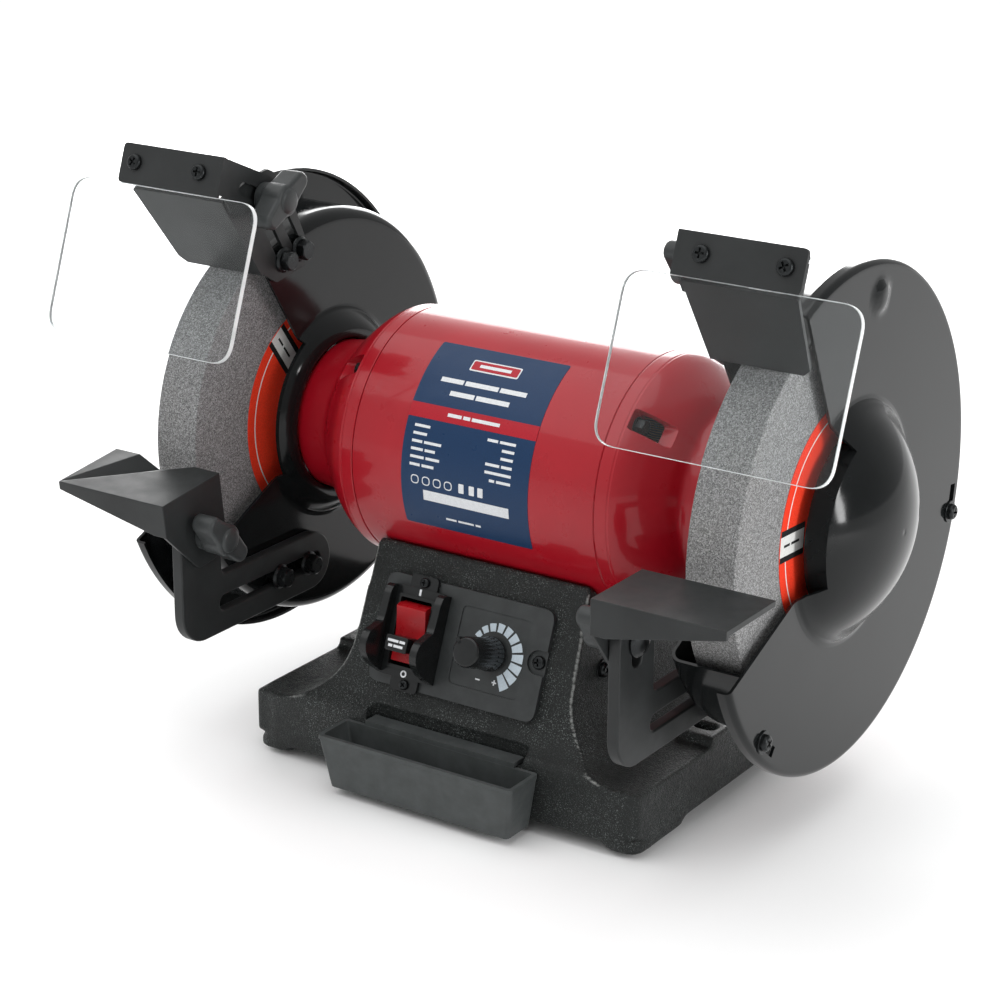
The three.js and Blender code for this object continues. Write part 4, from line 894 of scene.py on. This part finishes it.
def data_label():
    """Generic data plate: navy film, a red band and plain bars in place of words."""
    x0, x1, low, high = LABEL
    skin, ink = MOTOR_RADIUS + 0.02, MOTOR_RADIUS + 0.16
    dress(smooth(patch(x0, x1, low, high, skin, 0.15, 1.2)), "data_plate", "frame", "label_navy")
    red = [patch(x0, x1, 26.5, 33, ink, 0.1), patch(-16.3, 10.3, 52.7, 57.3, ink + 0.1, 0.1, 0.8)]
    dress(smooth(gather(*red)), "data_plate_band", "frame", "label_red")

    def words(start, level, height, *lengths):
        for length in lengths:
            bars.append(patch(start, start + length, level, level + height, ink, 0.1))
            start += length + 1.1

    bars = [patch(-27, 22.6, -9.5, -4.8, ink, 0.1), patch(-17, 11, 52, 58, ink, 0.1, 1.0)]
    words(-29, 44.2, 2.2, 13, 19, 15)
    words(-21, 38.4, 2.2, 14, 19)
    words(-15, -17.4, 1.0, 6, 9, 3)
    for i, (left, right) in enumerate((((9,), (6, 9)), ((8,), (7,)), ((6, 10), (7,)), ((7, 6), (8, 6)),
                                       ((8, 8), (15,)), ((6, 7), (3, 8)))):
        words(-35, 22.4 - 3.4 * i, 1.2, *left)
        words(23.5 - sum(right) - 1.1 * (len(right) - 1), 22.4 - 3.4 * i, 1.2, *right)
    bars += [patch(x, x + 4.6, -2.6, 1.4, ink, 0.1, 2) for x in (-34, -27.5, -21, -14.5)]
    bars += [patch(x, x + 3, -2.6, 1.6, ink, 0.1, 0.4) for x in (-6, 0, 5)]
    dress(smooth(gather(*bars)), "data_plate_marks", "frame", "ink_white")
    overlay = [patch(x + 0.5, x + 4.1, -2.1, 0.9, ink + 0.1, 0.05, 1.5) for x in (-34, -27.5, -21, -14.5)]
    dress(smooth(gather(*overlay)), "data_plate_icons", "frame", "label_navy")
    over_red = [patch(-12, 6, 54.2, 55.8, ink + 0.2, 0.05)]
    for start, end in ((-18, -10), (-9, -5), (-4, 12)):
        over_red.append(patch(start, end, 29.1, 30.6, ink + 0.1, 0.05))
    dress(smooth(gather(*over_red)), "data_plate_red_marks", "frame", "ink_white")


data_label()

# ---- inside the motor

dress_pair(smooth(turned([(102.5, 8.9), (114.5, 8.9), (114.5, 12), (113, 12.2), (113, 16.3), (114.5, 16.5),
                          (114.5, 20), (102.5, 20), (102.5, 8.9)], 64)),
           "ball_bearing", "frame", "machined_steel", node="bearing")
half_shaft = [(84, 11), (84, 10), (98, 10), (98, 8.5), (118, 8.5), (118, 8), (185.5, 8), (186.5, 7),
              (186.5, 0)]
thread = [(171 + 0.75 * i, 8 - 0.45 * (i % 2)) for i in range(20)]
half_shaft[6:7] = thread
whole_shaft = [(-x, radius) for x, radius in reversed(half_shaft)] + half_shaft
dress(smooth(turned(whole_shaft, 48)), "spindle_shaft", "spindle", "machined_steel", nodes=["shaft"])
can = turned([(-38, 0), (-38, 16), (-37, 17), (32.5, 17), (33.5, 16.6), (33.5, 15.6), (34, 15), (34, 6),
              (38, 6), (38, 0)], 64)
move(can, Matrix.Translation((-18, 22, -112)))
dress(smooth(can), "run_capacitor", "frame", "aluminium_can", nodes=["capacitor"])
gland = turned([(0, 4), (24, 4), (24, 6.9), (7, 6.9), (7, 10.5), (6, 10.6), (3, 10.2), (2.6, 9), (1.6, 8.8),
                (1.4, 8), (0.4, 7.8), (0, 4)], 48)
aim(gland, (0, -1, 0), (CORD_X, BASE_REAR + 7.3, CORD_Z))
dress(smooth(gland), "cord_gland", "frame", "rubber", nodes=["cable_gland"])

# ---- wheels

half_wheel = [(0, BORE), (0, WHEEL_RADIUS - 0.9), (0.35, WHEEL_RADIUS - 0.25), (1, WHEEL_RADIUS)]
wheel_outline = [(WHEEL_IN + x, radius) for x, radius in half_wheel]
wheel_outline += [(WHEEL_OUT - x, radius) for x, radius in reversed(half_wheel)] + wheel_outline[:1]
dress_pair(smooth(turned(wheel_outline, 192)), "abrasive_wheel", "spindle", "abrasive", node="grinding_wheel")


def blotters(side, angle):
    """Paper discs on a wheel's faces: orange, with a thin white ring and a plain strip with black bars."""
    parts = {"blotter": [], "blotter_white": [], "blotter_black": []}
    for face, out in ((WHEEL_IN, -1), (WHEEL_OUT, 1)):
        for look, lift, inner, outer in (("blotter", 0.35, BORE + 0.5, BLOTTER_RADIUS),
                                         ("blotter_white", 0.42, 53.2, 53.9)):
            parts[look].append(ring(*sorted((face, face + out * lift)), inner, outer, 0.05, 128))
        for look, lift, low, high, start, end in (("blotter_black", 0.46, -7.6, 7.6, 36, 58.5),
                                                  ("blotter_white", 0.5, -4.8, 4.8, 36.5, 58.8),
                                                  ("blotter_black", 0.55, -0.6, 0.6, 50, 55.5),
                                                  ("blotter_black", 0.55, -0.6, 0.6, 41, 48.5)):
            flat = [(-start, low), (-end, low), (-end, high), (-start, high)]
            parts[look].append(move(prism(flat, "X", *sorted((face, face + out * lift))), spun(-angle)))
    for look, pieces in parts.items():
        piece = smooth(gather(*pieces))
        dress(mirrored(piece) if side == "left" else piece, f"{side}_{look}", "spindle", look)


blotters("right", 3)
blotters("left", 54)


def flange(face, out):
    """Relieved clamping flange that presses on the wheel near its rim."""
    profile = ((1.2, BORE), (1.2, 25), (0, 25.6), (0, 34.4), (0.6, 35), (2.2, 35), (3.0, 34.2), (5, 22.6),
               (6, 22), (6, BORE), (1.2, BORE))
    return smooth(turned([(face + out * depth, radius) for depth, radius in profile], 96), 28)


dress_pair(flange(WHEEL_IN - 0.6, -1), "inner_clamp_flange", "spindle", "machined_steel", node="inner_flange")
dress_pair(flange(WHEEL_OUT + 0.6, 1), "outer_clamp_flange", "spindle", "machined_steel", node="outer_flange")
nut_face = WHEEL_OUT + 0.6 + 6.3
nut = cut(hexagon(24, nut_face, nut_face + 12, 1.0), rod(nut_face - 1, nut_face + 13, BORE))
dress_pair(edges(nut, 0.3, 35, 2), "spindle_nut", "spindle", "dark_steel", node="arbor_nut")

# ---- guards


def guard_shell():
    """Pressed pan: dished collar round the motor's neck, flat plate, rounded corner and drum."""
    middle = GUARD_FACE + SHEET / 2
    bend = GUARD_CORNER - SHEET / 2
    corner = (middle + bend, GUARD_RADIUS - SHEET / 2 - bend)
    collar = smooth_line([(124.6, 39.3), (122.9, 40.6), (122.2, 42.8), (122.9, 45.6), (124.9, 48.7),
                          (127.6, 51.6), (129.6, 53.6), (middle, 56.5)], 4)
    line = collar + [(middle, radius) for radius in range(60, 98, 6)]
    line += arc(corner, bend, 180, 90, 9)
    line += [(x, GUARD_RADIUS - SHEET / 2) for x in (140, 150, 160, GUARD_EDGE)]
    body = turned(sheet_outline(line, SHEET), 160)
    body = cut(body, prism(sector(51, 150, -25.5, 57.5), "X", 110, 180))
    for angle in COVER_SCREW_ANGLES:
        lug = prism(rectangle(-6.5, -8, 6.5, 6.5, 3, 5), "X", GUARD_EDGE - SHEET, GUARD_EDGE)
        y, z = polar(GUARD_RADIUS + 5.5, angle)
        body = fuse(body, move(lug, turn_at((0, y, z), 90 - angle)))
    holes = [rod(160, 175, 2.2, *polar(COVER_SCREW_RADIUS, angle)) for angle in COVER_SCREW_ANGLES]
    holes += [rod(GUARD_FACE - 2, GUARD_FACE + 4, 3.4, y, z) for y, z in (*BRACKET_BOLTS, *LEG_BOLTS)]
    return edges(cut(body, *holes), 0.3, 40, 2)


def guard_cover():
    """Pressed cover: shallow dome over the spindle's end, flat disc with a small bump, turned rim."""
    middle = COVER_FACE - SHEET / 2
    sphere = (DOME_RADIUS ** 2 + DOME_HEIGHT ** 2) / (2 * DOME_HEIGHT)
    line = []
    for radius in np.linspace(0, DOME_RADIUS - 3, 20):
        line.append((middle - (sphere - DOME_HEIGHT) + math.sqrt(sphere ** 2 - radius ** 2), radius))
    line += smooth_line([(middle + 2.2, DOME_RADIUS - 0.6), (middle + 0.7, DOME_RADIUS + 1.4),
                         (middle, DOME_RADIUS + 4.2)], 4)
    line += [(middle, radius) for radius in np.arange(63, 119, 2.5)]
    bend = 2.25
    turn = (middle - bend, COVER_RADIUS - SHEET / 2 - bend)
    line += arc(turn, bend, 0, 90, 7)
    line += [(COVER_FACE - COVER_RIM, COVER_RADIUS - SHEET / 2)]
    body = turned(sheet_outline(line, SHEET), 224)
    bump_y, bump_z = polar(*BUMP)
    for vertex in body.data.vertices:
        x, y, z = (vertex.co - SPINDLE) / MM
        if x > COVER_FACE - 3:
            away = math.hypot(y - bump_y, z - bump_z) / 8
            vertex.co.x += 2.2 * MM * max(0.0, 1 - away ** 4)
    body = cut(body, prism(sector(46, 150, -23, 64.5, 48), "X", 160, 210))
    lip = prism(sector(46 - SHEET, 46, -32, 68.5, 48), "X", COVER_FACE - 0.8, COVER_FACE + 9.4)
    inner, outer = COVER_SCREW_RADIUS - 2.6, COVER_SCREW_RADIUS + 2.6
    slots = [prism(sector(inner, outer, a - 7, a + 2.4, 6), "X", 160, 180) for a in COVER_SCREW_ANGLES]
    return edges(cut(fuse(body, lip), *slots), 0.3, 40, 2)


dress_pair(guard_shell(), "guard_pan", "frame", "black_guard", node="guard_shell")
dress_pair(guard_cover(), "guard_lid", "frame", "black_guard", node="guard_cover")
for i, angle in enumerate(COVER_SCREW_ANGLES):
    y, z = polar(COVER_SCREW_RADIUS, angle)
    screw = gather(cross_screw((COVER_FACE + 0.8, y, z), (1, 0, 0), 4.0, 2.6, 25 + 50 * i),
                   washer((COVER_FACE, y, z), (1, 0, 0), 2.2, 5.6),
                   rod(GUARD_EDGE - 6, COVER_FACE + 1, 1.9, y, z))
    dress_pair(smooth(screw, 40), f"cover_screw_{i + 1}", "frame", "dark_steel")
for held, head, first, step, bolts in (("bracket", BAR_IN, 12, 25, BRACKET_BOLTS),
                                       ("deflector", LEG_IN, 5, 31, LEG_BOLTS)):
    for i, (y, z) in enumerate(bolts):
        dress_pair(flange_bolt(head - GAP, GUARD_FACE + 5.1, y, z, first + step * i),
                   f"{held}_flange_bolt_{i + 1}", "frame", "dark_steel",
                   node=f"{held}_bolt_{i + 1}")

# ---- spark deflectors and eye shields


def spark_deflector():
    """Bent sheet: a radial plate across the wheel's mouth and a slotted leg on the guard's side."""
    low, high = polar(DEFLECTOR_BOTTOM, DEFLECTOR_ANGLE), polar(DEFLECTOR_TOP, DEFLECTOR_ANGLE)
    face = rounded([(LEG_IN, DEFLECTOR_BOTTOM, 0), (174, DEFLECTOR_BOTTOM), (178, DEFLECTOR_BOTTOM + 4),
                    (184, DEFLECTOR_TOP), (LEG_IN, DEFLECTOR_TOP, 0)], 1.5)
    plate = move(prism(face, "Z", 0, 2), spun(180 - DEFLECTOR_ANGLE))
    leg = prism(rounded([(low[0] - 0.8, low[1] - 0.5, 0), (-48, 79.5), (-25, 83.5), (-22, 93), (-34, 118),
                         (-44, 133), (-53, 138), (-68, 135.5), (high[0] - 0.8, high[1] - 0.5, 0)], 3), "X",
                LEG_IN, LEG_OUT)
    heading = Vector((0.52, -0.854))
    slots = [prism(slot(Vector(b) - heading * 22, Vector(b) + heading * 3, 3.2), "X", 120, 135)
             for b in LEG_BOLTS]
    weld_nut = hexagon(11, LEG_OUT - 0.5, LEG_OUT + 4)
    edges(move(weld_nut, Matrix.Translation((0, *SHIELD_STUD))), 0.3)
    body = cut(fuse(plate, leg, settle(weld_nut)), *slots, rod(120, 140, 3.4, *SHIELD_STUD))
    return edges(body, 0.45, 35, 2)


def shield_bracket():
    """Bent strip that holds the eye shield, with a slotted cheek under the clamping knob."""
    strip = on_shield(prism(rounded([(STRIP_IN, 0, 0), (STRIP_OUT, 0), (STRIP_OUT, STRIP_HEIGHT),
                                     (STRIP_IN, STRIP_HEIGHT, 0)], 2.5), "Z", -STRIP_THICKNESS, 0))
    cheek = [(STRIP_Y + 0.4, STRIP_Z + 1.2), (-88.6, 150)] + arc(SHIELD_STUD, 11, 64, -110, 14)
    cheek += [(-83, 121), (-89.4, 131)]
    side = prism(cheek, "X", STRIP_IN, STRIP_IN + STRIP_THICKNESS)
    body = cut(fuse(strip, side), prism(slot((-75, 132.2), SHIELD_STUD, 3.4), "X", 120, 132))
    return edges(body, 0.55, 35)


SHIELD_FRONT = -STRIP_THICKNESS - GAP
SHIELD_BACK = SHIELD_FRONT - SHIELD_THICKNESS
SHIELD_SIDES = (SHIELD_X - SHIELD_WIDTH / 2, SHIELD_X + SHIELD_WIDTH / 2)


def eye_shield():
    x0, x1 = SHIELD_SIDES
    sheet = block((x0, -SHIELD_DROP, SHIELD_BACK), (x1, 0, SHIELD_FRONT), 11, 10)
    tab = block((STRIP_IN + 4, -6, SHIELD_BACK), (STRIP_OUT - 1, STRIP_HEIGHT - 1.5, SHIELD_FRONT), 3)
    return on_shield(edges(fuse(sheet, tab), 0.5, 35))


def shield_rim():
    """Polished edge of the sheet: a band painted light grey, a painted highlight for the light it catches all
    round.
    """
    x0, x1 = SHIELD_SIDES
    band = block((x0 - 0.05, -SHIELD_DROP - 0.05, SHIELD_BACK + 0.25),
                 (x1 + 0.05, 0.05, SHIELD_FRONT - 0.25), 11, 10)
    inner = block((x0 + 0.3, -SHIELD_DROP + 0.3, -20), (x1 - 0.3, -0.3, 0), 10.7, 10)
    return smooth(on_shield(cut(band, inner)))


def wing_knob(face, stud_end, y, z, turn):
    """Two-winged clamping knob along X, its threaded stud pointing away from the motor."""
    outline = arc((13.2, 0), 4.9, -72, 72, 10) + arc((0, 0), 8.2, 48, 132, 8)
    outline += arc((-13.2, 0), 4.9, 108, 252, 10) + arc((0, 0), 8.2, 228, 312, 8)
    grip = edges(prism(outline, "X", -16, -3), 2.2, 30, 4)
    hub = turned([(-17.2, 0), (-17.2, 4.5), (-16.4, 6), (-15, 6.6), (-4, 7.4), (-3.2, 7.5), (0, 7.5),
                  (0, 0)], 48)
    knob = move(gather(settle(grip), hub), turn_at((face, y, z), turn))
    if stud_end > face:
        knob = gather(knob, rod(face - 1, stud_end, 3, y, z))
    return smooth(knob)


dress_pair(spark_deflector(), "spark_guard", "{}_deflector", "black_steel", node="spark_deflector")
dress_pair(shield_bracket(), "shield_strip", "{}_shield", "black_steel", node="shield_bracket")
dress_pair(eye_shield(), "clear_shield", "{}_shield", "clear_plastic", node="eye_shield")
dress_pair(shield_rim(), "shield_rim", "{}_shield", "shield_edge_highlight")
for side, turn in (("left", 35), ("right", -42)):
    knob = wing_knob(STRIP_IN - GAP, LEG_OUT + 5, *SHIELD_STUD, turn)
    if side == "left":
        mirrored(knob)
    dress(knob, f"{side}_shield_wing_knob", f"{side}_shield_clamp", "black_plastic",
          nodes=[f"{side}_shield_knob"])
direction = ON_SHIELD.to_3x3() @ Vector((0, 0, 1))
for i, x in enumerate((138.5, 179)):
    at, back_at = (ON_SHIELD @ Vector((x, 10.5, z)) for z in (0, SHIELD_BACK - 3))
    shank = aim(rod(0, 5, 2.0), direction, back_at)
    nut = aim(edges(hexagon(7, 0, 3), 0.2), direction, back_at)
    screw = gather(cross_screw(at, direction, 4.0, 2.4, 30 * i), shank, settle(nut))
    dress_pair(smooth(screw, 40), f"shield_screw_{i + 1}", "{}_shield", "dark_steel")

# ---- tool rests


def rest_bracket():
    """L-shaped bar with a slot along each arm."""
    half = BAR_WIDTH / 2
    arm = (BAR_FRONT + half, REST_STUD[1] + 16 - half)
    foot_z = BAR_BOTTOM + half
    outline = arc(arm, half, 0, 180, 20) + arc((BAR_FRONT + 17, BAR_BOTTOM + 17), 17, 180, 270, 12)
    outline += arc((BAR_END - half, foot_z), half, -90, 90, 20)
    outline += arc((arm[0] + half + 4, foot_z + half + 4), 4, 270, 180, 6)
    bar = prism(outline, "X", BAR_IN, BAR_OUT)
    foot = prism(slot((-104, BRACKET_BOLT_Z), (-30.6, BRACKET_BOLT_Z), 4.2, 12), "X", 115, 135)
    y, z = REST_STUD
    height = prism(slot((y, z - 9), (y, z + 4.6), 4.2, 12), "X", 115, 135)
    return edges(cut(bar, foot, height), 0.8)


def fold(drop, open_above):
    """Wedge of the left rest's V-fold: deepest at the back edge, run out at the front outer corner."""
    corner = Vector((REST_IN + REST_WIDTH, REST_FRONT, REST_TOP - drop))
    back = [corner + 1.1 * (Vector((x, REST_BACK, REST_TOP - drop - depth)) - corner) for x, depth in GROOVE]
    lift = Vector((0, 0, 3))
    points = [corner, *back] + ([corner + lift, back[0] + lift, back[2] + lift] if open_above else [])
    hull = bmesh.new()
    for point in points:
        hull.verts.new(point)
    bmesh.ops.convex_hull(hull, input=hull.verts)
    hull.verts.index_update()
    wedge = solid([v.co.copy() for v in hull.verts], [[v.index for v in face.verts] for face in hull.faces])
    hull.free()
    return wedge


def tool_rest(folded):
    """Pressed rest: top plate, front flange that narrows outwards, side flange on the bracket bar."""
    outer = REST_IN + REST_WIDTH
    top = block((REST_IN, REST_FRONT, REST_TOP - 3), (outer, REST_BACK, REST_TOP))
    front = prism([(REST_IN, REST_TOP - 1), (REST_IN, -18.7), (REST_IN + 8, -18.7), (outer, REST_TOP - 4.5),
                   (outer, REST_TOP - 1)], "Y", REST_FRONT, REST_FRONT + 2.2)
    side = prism(rounded([(REST_FRONT, REST_TOP - 1, 0), (REST_FRONT, -18.7, 0), (-128, -44), (-114, -44),
                          (REST_BACK, -31), (REST_BACK, REST_TOP - 1, 0)], 6), "X", REST_IN, REST_IN + 2)
    body = fuse(top, front, side)
    if folded:
        plate = block((REST_IN, REST_FRONT + 2, REST_TOP - 10), (outer, REST_BACK, REST_TOP - 1))
        body = cut(fuse(body, overlap(fold(3, False), plate)), fold(0, True))
    body = cut(body, rod(REST_IN - 1, REST_IN + 4, 3.6, *REST_STUD))
    return edges(body, 0.9, 20 if folded else 30)


left_shift = (0, LEFT_SLIDE, -LEFT_DROP)
dress_pair(rest_bracket(), "rest_bar", "{}_rest_slider", "black_steel", node="rest_bracket",
           shift=(0, LEFT_SLIDE, 0))
dress(tool_rest(False), "right_rest_table", "right_rest", "black_steel", nodes=["right_tool_rest"])
left_table = mirrored(tool_rest(True))
stud = Vector((0, *REST_STUD))
move(left_table, turn_at(stud + Vector(left_shift), LEFT_TILT) @ Matrix.Translation(-stud))
dress(left_table, "left_rest_table", "left_rest", "black_steel", nodes=["left_tool_rest"])
coach_bolt = gather(turned([(BAR_OUT + GAP, 0), (BAR_OUT + GAP, 8), (BAR_OUT + 1.2, 8), (BAR_OUT + 3, 6),
                            (BAR_OUT + 4, 3), (BAR_OUT + 4, 0)], 40, *REST_STUD),
                    rod(REST_IN - 9, BAR_OUT + 1, 3, *REST_STUD))
dress_pair(smooth(coach_bolt), "rest_coach_bolt", "{}_rest_pivot", "dark_steel", node="rest_bolt",
           shift=left_shift)
dress_pair(wing_knob(REST_IN - GAP, 0, *REST_STUD, -45), "rest_wing_knob", "{}_rest_clamp", "black_plastic",
           node="rest_knob", shift=left_shift)

# ---- CAD nodes that keep their own shape

for name, look in (("bottom_cover", "black_steel"), ("stator_core", "lamination_steel"),
                   ("stator_winding", "copper"), ("rotor_core", "lamination_steel"),
                   ("speed_control_board", "circuit_board")):
    node = frame["nodes"][name]
    node.data.materials.clear()
    node.data.materials.append(MAT[look])
    edges(node, 0.3)

# ---- floor, light and camera


def floor_and_light():
    mesh = bpy.data.meshes.new("floor")
    mesh.from_pydata([(-20, -20, 0), (20, -20, 0), (20, 20, 0), (-20, 20, 0)], [], [(0, 1, 2, 3)])
    floor = linked(mesh, "floor")
    made = Surface("pale_floor", Specular_IOR_Level=0.1)
    made.feed(Base_Color=made.ramp(made.noise(2, 2), (0.3, 0.93), (0.7, 0.95)),
              Roughness=made.spread(made.noise(5, 2), 0.8, 0.9))
    mesh.materials.append(made.material)
    world = bpy.data.worlds.new("studio")
    world.use_nodes = True
    sky = world.node_tree.nodes
    kinds = ("TexCoord", "SeparateXYZ", "MapRange")
    where, split, strength = (sky.new("ShaderNode" + kind) for kind in kinds)
    for socket, value in zip(strength.inputs[1:5], (-1.0, 1.0, 0.95, 0.38)):
        socket.default_value = value
    sky["Background"].inputs["Color"].default_value = (1, 1, 1, 1)
    world.node_tree.links.new(where.outputs["Generated"], split.inputs[0])
    world.node_tree.links.new(split.outputs["X"], strength.inputs["Value"])
    world.node_tree.links.new(strength.outputs[0], sky["Background"].inputs["Strength"])
    scene.world = world

    def lamp(kind, name, at, **settings):
        light = bpy.data.lights.new(name, kind)
        for key, value in settings.items():
            setattr(light, key, value)
        holder = linked(light, name)
        holder.location, holder.rotation_mode = at, "QUATERNION"
        holder.rotation_quaternion = (Vector((0, 0, 0.16)) - Vector(at)).to_track_quat("-Z", "Y")

    lamp("SUN", "overhead", (-0.2, -0.3, 1.4), energy=1.5, angle=math.radians(80))
    lamp("AREA", "right_strip", (1.25, -0.11, 0.5), shape="RECTANGLE", energy=6, size=0.12, size_y=0.7)
    lamp("AREA", "rear", (-0.95, 1.25, 0.5), shape="RECTANGLE", energy=22, size=1.5, size_y=0.8)


def camera():
    """Camera at the product view: right of centre, above, with a long lens."""
    azimuth, elevation, roll = 33.66, 19.41, 0.35
    data = bpy.data.cameras.new("camera")
    data.sensor_width, data.lens = 36, 95.41
    data.clip_start, data.clip_end = 0.01, 50
    view = linked(data, "camera")
    turn = spun(azimuth, "Z") @ spun(90 - elevation) @ spun(roll, "Z")
    view.matrix_world = Matrix.Translation(place((676.9, -1053.8, 417.2))) @ turn
    scene.camera = view


floor_and_light()
camera()
scene.view_settings.view_transform = "Standard"
